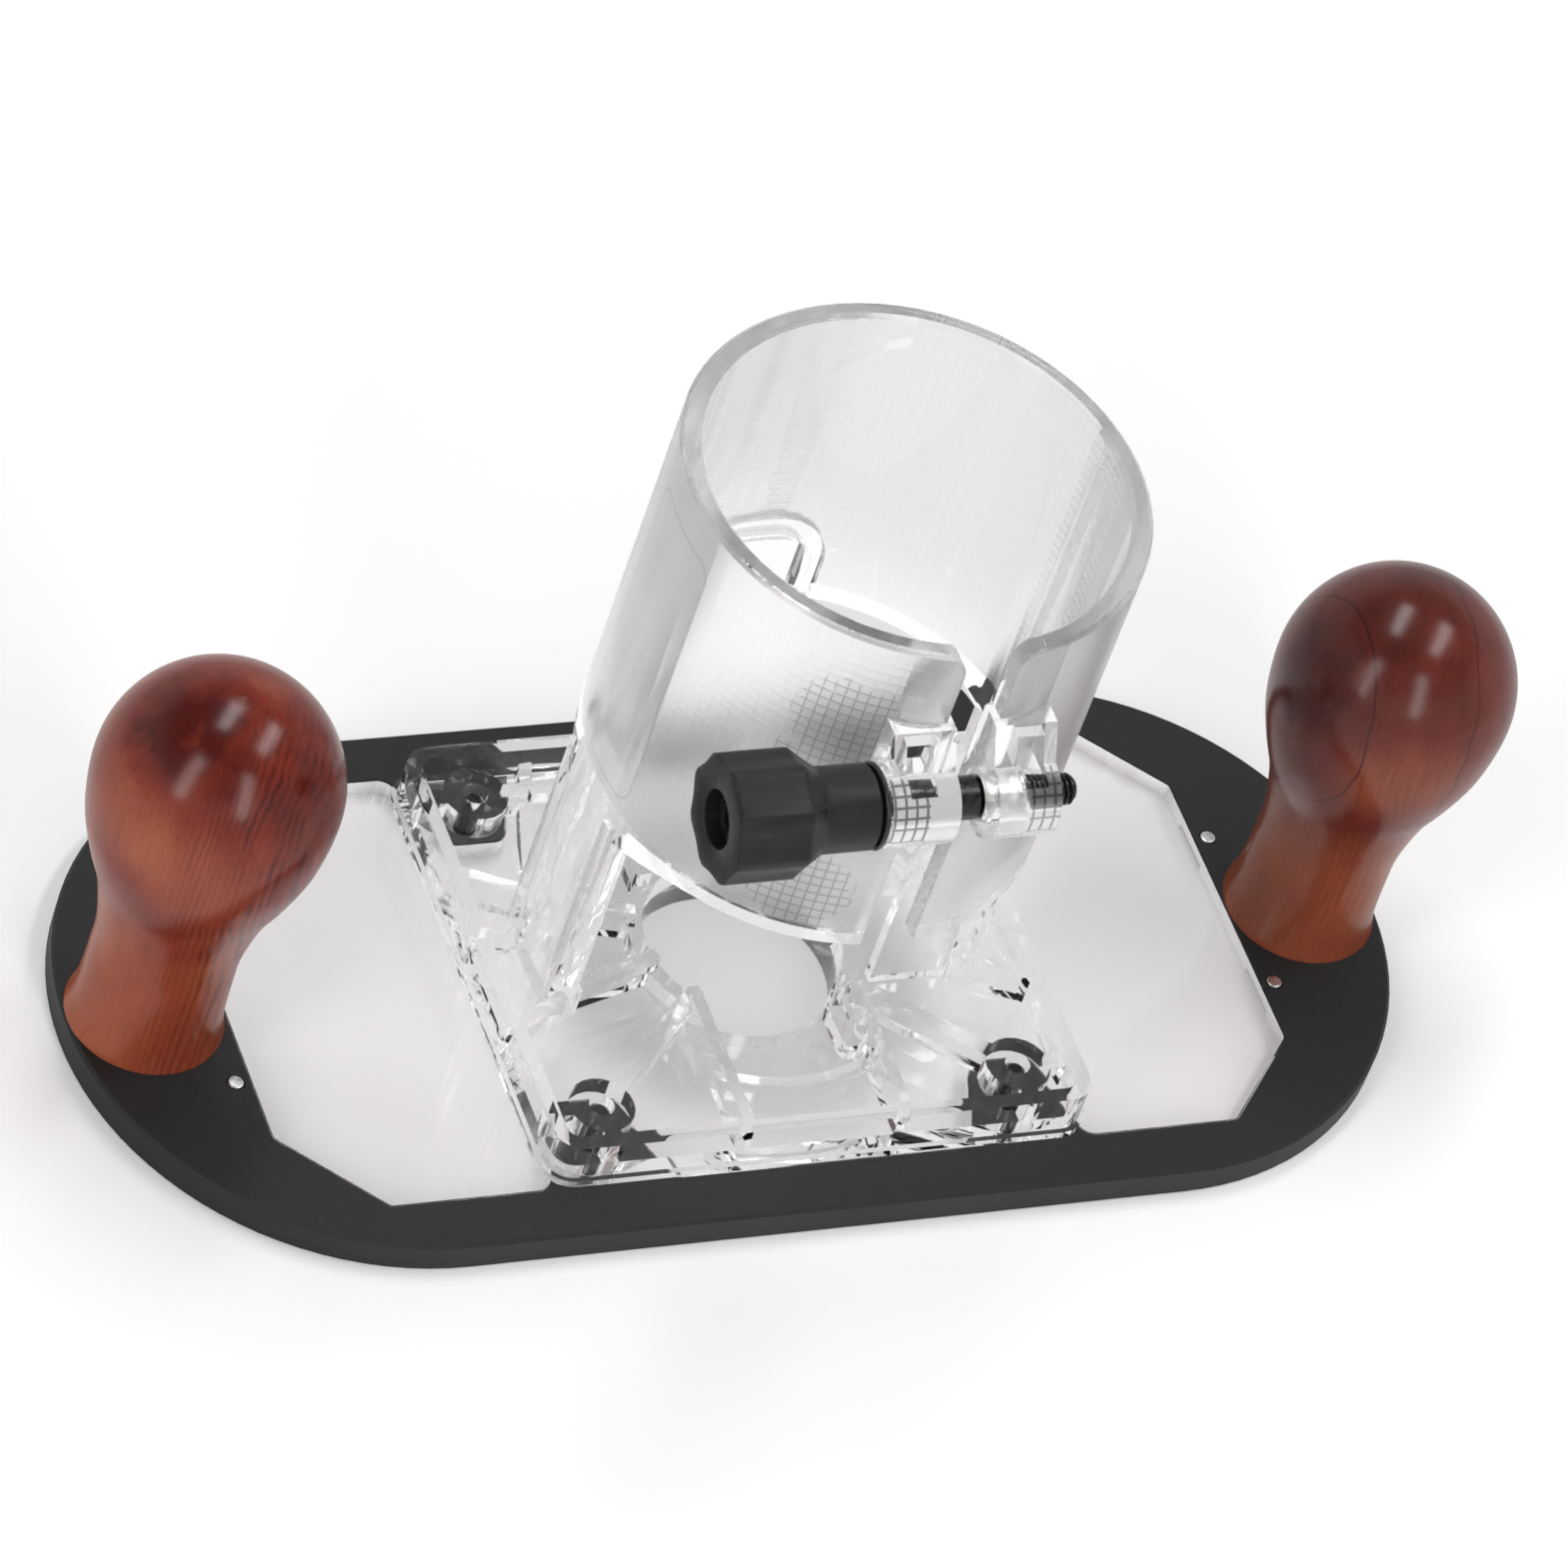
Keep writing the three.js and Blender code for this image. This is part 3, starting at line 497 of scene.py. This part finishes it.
# Thin layers of the wood, cut by the surface into broken lines
def grainLines(tree, place, wood):
    across = split(tree, turned(tree, place, wood["lean"]))["X"]
    wander = calc(tree, "MULTIPLY", woodNoise(tree, wood, "layers"), grain["layerWander"])
    layer = calc(tree, "DIVIDE", calc(tree, "ADD", across, wander), grain["layer"])
    line = mapped(tree, calc(tree, "PINGPONG", layer, 0.5), 0.05, 0.5)
    strong = mapped(tree, woodNoise(tree, wood, "breaks"), 0.35, 0.68,
                    0.25 * wood["lines"], wood["lines"])
    centre, reach = wood["lined"]
    away = planeDistance(tree, vectorCalc(tree, "SUBTRACT", place, centre), grain["linedFlat"])
    near = mapped(tree, away, reach, reach * 0.4, 0.1, 1)
    return calc(tree, "MULTIPLY", calc(tree, "MULTIPLY", line, strong), near)


# Year rings round a point inside the head, which the surface cuts into loops
def ringLines(tree, place, wood, dark):
    wander = mapped(tree, noise(tree, place, grain["ringBends"], 2), 0.2, 0.8,
                    -grain["ringWander"], grain["ringWander"])
    head = mapped(tree, split(tree, place)["Z"], *grain["ringFoot"])
    for radius, share in wood["rings"]:
        off = vectorCalc(tree, "SUBTRACT", place, wood["ringCentre"])
        away = calc(tree, "ADD", planeDistance(tree, off, grain["ringFlat"]), wander)
        away = calc(tree, "ABSOLUTE", calc(tree, "SUBTRACT", away, radius))
        ring = mapped(tree, away, grain["ringHalf"], 0, 0, share)
        dark = largest(tree, dark, calc(tree, "MULTIPLY", ring, head))
    return dark


def lacqueredWood(side):
    wood = woods[side]
    material, tree, shader = newMaterial(f"wood_{side}")
    place = ownPlace(tree)
    streak = woodNoise(tree, wood, "streak")
    warm = ramp(tree, woodTone(tree, place, streak, wood), wood["stops"])
    fibre = woodNoise(tree, wood, "fibre")
    dark = largest(tree, grainLines(tree, place, wood),
                   mapped(tree, fibre, 0.5, 0.75, 0, grain["fibreTone"]))
    dark = ringLines(tree, place, wood, dark)
    feed(tree, shader, Base_Color=blended(tree, dark, warm, grain["lineTone"]),
         Roughness=lacquer["roughness"], Specular_IOR_Level=lacquer["specular"],
         Coat_Weight=lacquer["coat"], Coat_Roughness=lacquer["coatRoughness"])
    bumped(tree, shader, fibre, grain["relief"])
    return material


# Black rubber of the knob, a little worn round its flats

rubber = {
    "tones": [(0.35, (0.009, 0.009, 0.0095)), (0.6, (0.015, 0.015, 0.0155)),
              (0.75, (0.03, 0.03, 0.031))],
    "grain": 1500,
    "wear": 420,
    "roughness": (0.38, 0.52),
    "specular": 0.3,
    "relief": 0.02 * millimetre,
}


def blackRubber():
    material, tree, shader = newMaterial("black_rubber")
    grained = noise(tree, scaledPlace(tree), rubber["grain"], 3)
    wear = noise(tree, scaledPlace(tree, scale=(0.25, 1, 1)), rubber["wear"])
    feed(tree, shader, Base_Color=ramp(tree, wear, rubber["tones"]),
         Roughness=mapped(tree, wear, 0.3, 0.7, *rubber["roughness"]),
         Specular_IOR_Level=rubber["specular"])
    bumped(tree, shader, grained, rubber["relief"])
    return material


# Metals, and the washer's glossy black

metals = {
    "pin_steel": {"dark": (0.66, 0.66, 0.67), "light": (0.8, 0.8, 0.81),
                  "roughness": 0.24, "metallic": 1},
    "black_oxide": {"dark": (0.01, 0.01, 0.011), "light": (0.026, 0.026, 0.028),
                    "roughness": 0.22, "metallic": 0.4},
    "bright_insert": {"dark": (0.5, 0.49, 0.48), "light": (0.75, 0.74, 0.73),
                      "roughness": 0.2, "metallic": 1},
    "turned_brass": {"dark": (0.5, 0.32, 0.12), "light": (0.7, 0.5, 0.2),
                     "roughness": 0.25, "metallic": 1},
    "gloss_black": {"dark": (0.008, 0.008, 0.008), "light": (0.014, 0.014, 0.014),
                    "roughness": 0.12, "metallic": 0},
}
streaks = {"scale": 900, "roughness": 0.12, "relief": 0.008 * millimetre}


def metal(name):
    look = metals[name]
    material, tree, shader = newMaterial(name)
    streak = noise(tree, scaledPlace(tree), streaks["scale"])
    rough = mapped(tree, streak, 0.3, 0.7, look["roughness"],
                   look["roughness"] + streaks["roughness"])
    feed(tree, shader, Roughness=rough, Metallic=look["metallic"],
         Base_Color=ramp(tree, streak, [(0.35, look["dark"]), (0.65, look["light"])]))
    bumped(tree, shader, streak, streaks["relief"])
    return material


# Meshes

def newPiece(name, mesh, material, body):
    piece = bpy.data.objects.new(name, mesh)
    scene.collection.objects.link(piece)
    mesh.materials.clear()
    mesh.materials.append(material)
    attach(piece, body)
    return piece


def smoothed(mesh, angle):
    mesh.shade_smooth()
    mesh.set_sharp_from_angle(angle=math.radians(angle))


# A body through rings of equally many points. It is closed by a face at each end, or where it
# has a bore right through, by joining its last ring to its first.
def lofted(name, rings, material, body, angle=35, bored=False):
    shape = bmesh.new()
    made = [[shape.verts.new(point) for point in ring] for ring in rings]
    following = made[1:] + made[:1] if bored else made[1:]
    for first, second in zip(made, following):
        for i in range(len(first)):
            j = (i + 1) % len(first)
            shape.faces.new((first[i], first[j], second[j], second[i]))
    if not bored:
        shape.faces.new(made[0][::-1])
        shape.faces.new(made[-1])
    bmesh.ops.recalc_face_normals(shape, faces=shape.faces)
    mesh = bpy.data.meshes.new(name)
    shape.to_mesh(mesh)
    shape.free()
    smoothed(mesh, angle)
    return newPiece(name, mesh, material, body)


def turnsOf(sides):
    return [2 * math.pi * i / sides for i in range(sides)]


# Rings of points about an upright axis, from pairs of radius and height
def uprightRings(profile, centre, sides):
    return [[Vector((centre[0] + radius * math.cos(turn), centre[1] + radius * math.sin(turn),
                     height)) for turn in turnsOf(sides)] for radius, height in profile]


# Rings about the bolt's axis, from pairs of an x and a function that gives a turn's radius
def crossRings(stations, sides):
    y, z = boltAxis()
    return [[Vector((x, y + radiusAt(turn) * math.cos(turn), z + radiusAt(turn) * math.sin(turn)))
             for turn in turnsOf(sides)] for x, radiusAt in stations]


# Plate, sheet and clear base: the CAD's shapes with rounded edges

rounded = {
    "plate": 0.15 * millimetre,
    "sheet": 0.2 * millimetre,
    "moulding": 0.25 * millimetre,
    "segments": 2,
    "sharp": 35,
    "flat": 0.5,
    "joined": 1e-6,
    "seat": 5.03 * millimetre,  # keeps the clear base's underside just off the plate's face
}


def refined(name, node, width, material):
    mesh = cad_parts[node].data.copy()
    shape = bmesh.new()
    shape.from_mesh(mesh)
    bmesh.ops.remove_doubles(shape, verts=shape.verts, dist=rounded["joined"])
    bmesh.ops.dissolve_limit(shape, angle_limit=math.radians(rounded["flat"]),
                             verts=shape.verts, edges=shape.edges)
    shape.to_mesh(mesh)
    shape.free()
    piece = newPiece(name, mesh, material, "base")
    bevel = piece.modifiers.new("edges", "BEVEL")
    bevel.width = width
    bevel.segments = rounded["segments"]
    bevel.limit_method = "ANGLE"
    bevel.angle_limit = math.radians(rounded["sharp"])
    bevel.harden_normals = True
    smoothed(mesh, rounded["sharp"])
    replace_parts(piece, node)
    return piece


# Handles: pairs of height and radius as shares of the whole, then an elliptical crown

handle = {
    "sides": 128,
    "steps": 6,
    "shares": [
        (0.035, 0.617), (0.085, 0.598), (0.17, 0.59), (0.255, 0.594), (0.34, 0.642),
        (0.425, 0.72), (0.51, 0.842), (0.595, 0.942), (0.67, 0.987),
    ],
    "widest": 0.73,
    "crown": 9,
    "foot": 12.3 * millimetre,
    "tip": 0.02 * millimetre,
    "sharp": 60,
}


# Catmull-Rom curve through points, as the CAD's outline is drawn
def smoothCurve(points, steps):
    padded = [points[0], *points, points[-1]]
    curve = []
    for before, start, end, after in zip(padded, padded[1:], padded[2:], padded[3:]):
        for step in range(steps):
            t = step / steps
            curve.append(tuple(
                0.5 * (2 * b + (c - a) * t + (2 * a - 5 * b + 4 * c - d) * t ** 2
                       + (3 * b - a - 3 * c + d) * t ** 3)
                for a, b, c, d in zip(before, start, end, after)))
    curve.append(points[-1])
    return curve


def makeHandle(side, material):
    node = f"handle_{side}"
    low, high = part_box(node)
    radius = (high.x - low.x) / 2
    height = high.z - low.z
    points = [(handle["foot"], low.z)]
    points += [(share * radius, low.z + part * height) for part, share in handle["shares"]]
    crown = handle["crown"]
    for k in range(crown + 1):
        turn = math.pi / 2 * k / crown
        part = handle["widest"] + (1 - handle["widest"]) * math.sin(turn)
        points.append((radius * math.cos(turn), low.z + part * height))
    profile = [(max(r, handle["tip"]), z) for r, z in smoothCurve(points, handle["steps"])]
    rings = uprightRings(profile, ((low.x + high.x) / 2, 0), handle["sides"])
    piece = lofted(f"turned_{node}", rings, material, "base", handle["sharp"])
    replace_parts(piece, node)


# Clamp knob: a fluted head with a socket, a fillet and a collar, from its far end to the ear

knob = {
    "flats": 8,
    "sides": 192,
    "collar": 6.45 * millimetre,
    "neck": 7.2 * millimetre,
    "fillet": 1.9 * millimetre,
    "filletSteps": 8,
    "slant": 2.9 * millimetre,
    "flat": 9.1 * millimetre,
    "corner": 9.6 * millimetre,
    "hollow": 0.22 * millimetre,
    "shoulder": [(0.25 * millimetre, 0.25 * millimetre), (-0.1 * millimetre, 0.04 * millimetre),
                 (-0.5 * millimetre, 0)],  # steps along the bolt, and how far in
    "edge": 0.6 * millimetre,
    "edgeSteps": 5,
    "recess": 4.45 * millimetre,
    "recessDepth": 7.5 * millimetre,
    "headLength": 11.5 * millimetre,
    "chamfer": 0.45 * millimetre,
    "bore": 3.6 * millimetre,
    "sharp": 40,
}


def circle(radius):
    return lambda turn: radius


def fluted(inset):
    step = 2 * math.pi / knob["flats"]

    def radiusAt(turn):
        fromFlat = (turn % step) - step / 2
        flat = knob["flat"] / math.cos(fromFlat)
        hollow = knob["hollow"] * math.cos(math.pi * fromFlat / step) ** 2
        return min(flat - hollow, knob["corner"]) - inset
    return radiusAt


def makeKnob(material):
    low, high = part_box("clamp_knob")
    shoulder = low.x + knob["headLength"]
    neck = shoulder + knob["slant"]
    stations = [(high.x, circle(knob["bore"])),
                (high.x, circle(knob["collar"] - knob["chamfer"])),
                (high.x - knob["chamfer"], circle(knob["collar"]))]
    steps = knob["filletSteps"]
    for step in range(steps + 1):
        bend = math.pi / 2 * step / steps
        rise = (knob["neck"] - knob["collar"]) * (1 - math.cos(bend))
        stations.append((neck + knob["fillet"] * (1 - math.sin(bend)),
                         circle(knob["collar"] + rise)))
    stations += [(shoulder + along, fluted(inset)) for along, inset in knob["shoulder"]]
    edge, steps = knob["edge"], knob["edgeSteps"]
    for step in range(steps + 1):
        bend = math.pi / 2 * step / steps
        stations.append((low.x + edge * (1 - math.sin(bend)),
                         fluted(edge * (1 - math.cos(bend)))))
    recess, depth = knob["recess"], knob["recessDepth"]
    stations += [(low.x, circle(recess + edge / 2)), (low.x + edge / 3, circle(recess)),
                 (low.x + depth, circle(recess)), (low.x + depth, circle(knob["bore"]))]
    rings = crossRings(stations, knob["sides"])
    piece = lofted("moulded_knob", rings, material, "knob", knob["sharp"], bored=True)
    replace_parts(piece, "clamp_knob")


# Clamp bolt: a socket head inside the knob, a plain stem and a thread

bolt = {
    "sides": 48,
    "pitch": 0.8 * millimetre,
    "root": 1.85 * millimetre,
    "crest": 2.4 * millimetre,
    "crestWidth": 1.6,
    "stem": 3.3 * millimetre,
    "stemEnd": 1.7 * millimetre,
    "head": 4.1 * millimetre,
    "headLength": 5 * millimetre,
    "socket": 2.2 * millimetre,
    "socketDepth": 2.6 * millimetre,
    "lead": 0.8 * millimetre,
    "round": 0.3 * millimetre,
    "stepsPerTurn": 8,
}


def threaded(x, limit):
    crest = min(bolt["crest"], limit)
    root = min(bolt["root"], limit)

    def radiusAt(turn):
        phase = (x / bolt["pitch"] - turn / (2 * math.pi)) % 1
        height = min(1, bolt["crestWidth"] * (1 - abs(2 * phase - 1)))
        return root + (crest - root) * height
    return radiusAt


def sixSided(radius):
    step = math.pi / 3
    return lambda turn: radius * math.cos(step / 2) / math.cos(turn % step - step / 2)


def makeBolt(material):
    low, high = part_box("clamp_bolt")
    headEnd = low.x + bolt["headLength"]
    edge = bolt["round"]
    stations = [(low.x + bolt["socketDepth"], sixSided(bolt["socket"])),
                (low.x, sixSided(bolt["socket"])),
                (low.x, circle(bolt["head"] - edge)),
                (low.x + edge, circle(bolt["head"])),
                (headEnd, circle(bolt["head"])),
                (headEnd, circle(bolt["stem"])),
                (bolt["stemEnd"] - edge, circle(bolt["stem"])),
                (bolt["stemEnd"], circle(bolt["stem"] - edge)),
                (bolt["stemEnd"], circle(bolt["root"]))]
    step = bolt["pitch"] / bolt["stepsPerTurn"]
    count = int((high.x - bolt["stemEnd"]) / step)
    for k in range(1, count):
        x = bolt["stemEnd"] + k * step
        limit = bolt["crest"] - max(0, x - (high.x - bolt["lead"]))
        stations.append((x, threaded(x, limit)))
    stations.append((high.x, circle(bolt["crest"] - bolt["lead"])))
    piece = lofted("threaded_bolt", crossRings(stations, bolt["sides"]), material, "knob")
    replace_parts(piece, "clamp_bolt")


# Clamp washer, with a round outer edge

washer = {"sides": 96, "edgeSteps": 8, "sharp": 40}


def makeWasher(material):
    low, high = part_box("clamp_washer")
    middle = (low.x + high.x) / 2
    half = (high.x - low.x) / 2
    outer = (high.z - low.z) / 2
    stations = [(low.x, circle(knob["bore"])), (low.x, circle(outer - half))]
    for k in range(1, washer["edgeSteps"]):
        bend = math.pi * k / washer["edgeSteps"]
        stations.append((middle - half * math.cos(bend),
                         circle(outer - half * (1 - math.sin(bend)))))
    stations += [(high.x, circle(outer - half)), (high.x, circle(knob["bore"]))]
    rings = crossRings(stations, washer["sides"])
    piece = lofted("rounded_washer", rings, material, "washer", washer["sharp"], bored=True)
    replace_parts(piece, "clamp_washer")


# Window pins, with a slightly domed end

pin = {"sides": 40, "dome": 0.12, "domeSteps": 7, "fullness": 0.4}


def makePin(number, material):
    node = f"window_pin_{number}"
    low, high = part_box(node)
    radius = (high.x - low.x) / 2
    centre = ((low.x + high.x) / 2, (low.y + high.y) / 2)
    dome = pin["dome"] * radius
    profile = [(radius, low.z), (radius, high.z - dome)]
    for k in range(1, pin["domeSteps"]):
        bend = math.pi / 2 * k / pin["domeSteps"]
        profile.append((radius * math.cos(bend) ** pin["fullness"],
                        high.z - dome * (1 - math.sin(bend))))
    rings = uprightRings(profile, centre, pin["sides"])
    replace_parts(lofted(f"domed_pin_{number}", rings, material, "base"), node)


# Light: a pale world and four softboxes

studio = {
    "sky": [(0.0, (0.8, 0.8, 0.8)), (0.4, (0.75, 0.75, 0.75)), (0.62, (0.25, 0.25, 0.25)),
            (1.0, (0.2, 0.2, 0.2))],
    "seenThrough": (0.8, 0.8, 0.8, 1),  # what clear pieces show of the world
    "distance": 1.4,
    "softboxes": [
        {"azimuth": 89, "elevation": 70.5, "size": (0.22, 0.8), "power": 4.7, "lean": 30},
        {"azimuth": -7, "elevation": 63.5, "size": (0.22, 0.8), "power": 4.5, "lean": 28},
        {"azimuth": -156, "elevation": 37, "size": (0.27, 0.95), "power": 3.9, "lean": 33},
        {"azimuth": -91, "elevation": 37, "size": (0.24, 0.95), "power": 3.9, "lean": 11},
    ],
}


def makeWorld():
    world = bpy.data.worlds.new("studio")
    world.use_nodes = True
    scene.world = world
    tree = world.node_tree
    place = addNode(tree, "ShaderNodeTexCoord").outputs["Generated"]
    sky = ramp(tree, split(tree, place)["Z"], studio["sky"])
    through = seenBy(tree, ["Is Transmission Ray"])
    background = tree.nodes["Background"].inputs
    setSocket(tree, background["Color"], blended(tree, through, sky, studio["seenThrough"]))
    setSocket(tree, background["Strength"], 1.0)


# Turns a lamp so that its reflection on a round handle leans in the picture, in degrees
def softboxMatrix(towards, distance, lean):
    right, up, back = scene.camera.matrix_world.to_3x3().col
    facing = (towards + back).normalized()
    along = up * math.cos(math.radians(lean)) + right * math.sin(math.radians(lean))
    along -= back * (along.dot(facing) / back.dot(facing))
    stretch = (facing * along.dot(back) + along * facing.dot(back)).normalized()
    side = stretch.cross(towards)
    turn = Matrix((side, stretch, towards)).transposed().to_4x4()
    return Matrix.Translation(towards * distance) @ turn


def makeSoftboxes():
    for k, box in enumerate(studio["softboxes"]):
        data = bpy.data.lights.new(f"softbox_{k + 1}", "AREA")
        data.shape = "RECTANGLE"
        data.size, data.size_y = box["size"]
        data.energy = box["power"]
        lamp = bpy.data.objects.new(data.name, data)
        turn = math.radians(box["azimuth"])
        rise = math.radians(box["elevation"])
        towards = Vector((math.cos(rise) * math.cos(turn), math.cos(rise) * math.sin(turn),
                          math.sin(rise)))
        lamp.matrix_world = softboxMatrix(towards, studio["distance"], box["lean"])
        scene.collection.objects.link(lamp)


# Floor: pale, and white where the camera sees it, with the shadow kept, but left pale under the
# bit hole as painted shade and glowing near the object as painted light

ground = {
    "half": 3.0,
    "drop": -0.2 * millimetre,
    "tones": [(0.3, (0.91, 0.91, 0.91)), (0.7, (0.93, 0.93, 0.93))],
    "white": (1, 1, 1, 1),
    "cloud": 3,
    "roughness": 0.9,
    "specular": 0.1,
    # painted shade: the floor under the bit hole is kept out of the white backdrop, so it shows
    # darker there on top of its rendered shadow
    "holeShade": (24 * millimetre, 38 * millimetre),  # stays pale under the hole
    "glow": 0.06,
    "clearPaintedLight": 0.27,  # makes up for the light that clear pieces keep off the floor
    "clearReach": (80 * millimetre, 110 * millimetre),
}


def paleFloor():
    material, tree, shader = newMaterial("pale_floor")
    cloud = noise(tree, scaledPlace(tree), ground["cloud"], 2)
    away = planeDistance(tree, ownPlace(tree), (1, 1, 0))
    # painted shade: 0 under the bit hole, where the floor is not whitened
    outside = mapped(tree, away, *ground["holeShade"])
    direct = calc(tree, "MULTIPLY", seenBy(tree, ["Is Camera Ray"]), outside)
    other = calc(tree, "MULTIPLY", seenBy(tree, ["Is Glossy Ray", "Is Transmission Ray"]),
                 outside)
    # painted light: the floor glows near the object where it is seen through clear pieces or in
    # reflections, fading out between 80 and 110 mm
    near = mapped(tree, away, *ground["clearReach"], ground["clearPaintedLight"], 0)
    glow = largest(tree, calc(tree, "MULTIPLY", direct, ground["glow"]),
                   calc(tree, "MULTIPLY", other, near))
    pale = ramp(tree, cloud, ground["tones"])
    seen = largest(tree, direct, other)
    feed(tree, shader, Base_Color=blended(tree, seen, pale, ground["white"]),
         Roughness=ground["roughness"], Specular_IOR_Level=ground["specular"],
         Emission_Color=ground["white"], Emission_Strength=glow)
    return material


def makeFloor():
    mesh = bpy.data.meshes.new("floor")
    half, drop = ground["half"], ground["drop"]
    mesh.from_pydata([(-half, -half, drop), (half, -half, drop), (half, half, drop),
                      (-half, half, drop)], [], [(0, 1, 2, 3)])
    mesh.materials.append(paleFloor())
    floor = bpy.data.objects.new("floor", mesh)
    scene.collection.objects.link(floor)


makeCamera()
makeWorld()
makeSoftboxes()
makeFloor()
scene.cycles.max_bounces = 20
scene.cycles.glossy_bounces = 10
scene.cycles.transmission_bounces = 16
scene.cycles.caustics_refractive = False  # letLightThrough stands for them
scene.view_settings.view_transform = "Standard"
print("camera, light and floor are made")

refined("black_base_plate", "base_plate", rounded["plate"], anodisedBlack())
refined("clear_window", "acrylic_window", rounded["sheet"], clearSheet())
moulding = refined("clear_base", "router_base", rounded["moulding"], clearMoulding())
for vertex in moulding.data.vertices:
    vertex.co.z = max(vertex.co.z, rounded["seat"])
print("plate, window and clear base are made")

for side in ("left", "right"):
    makeHandle(side, lacqueredWood(side))
print("handles are made")

steel = metal("pin_steel")
blackSteel = metal("black_oxide")
makeKnob(blackRubber())
makeBolt(blackSteel)
makeWasher(metal("gloss_black"))
for number in range(1, 5):
    makePin(number, steel)
print("knob, bolt, washer and pins are made")

finishes = {
    "base_screw": blackSteel,
    "handle_insert": metal("turned_brass"),
    "handle_bolt": steel,
    "clamp_insert": metal("bright_insert"),
}
for name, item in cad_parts.items():
    for start, material in finishes.items():
        if name.startswith(start):
            item.data.materials.clear()
            item.data.materials.append(material)
print("fasteners have their finishes")
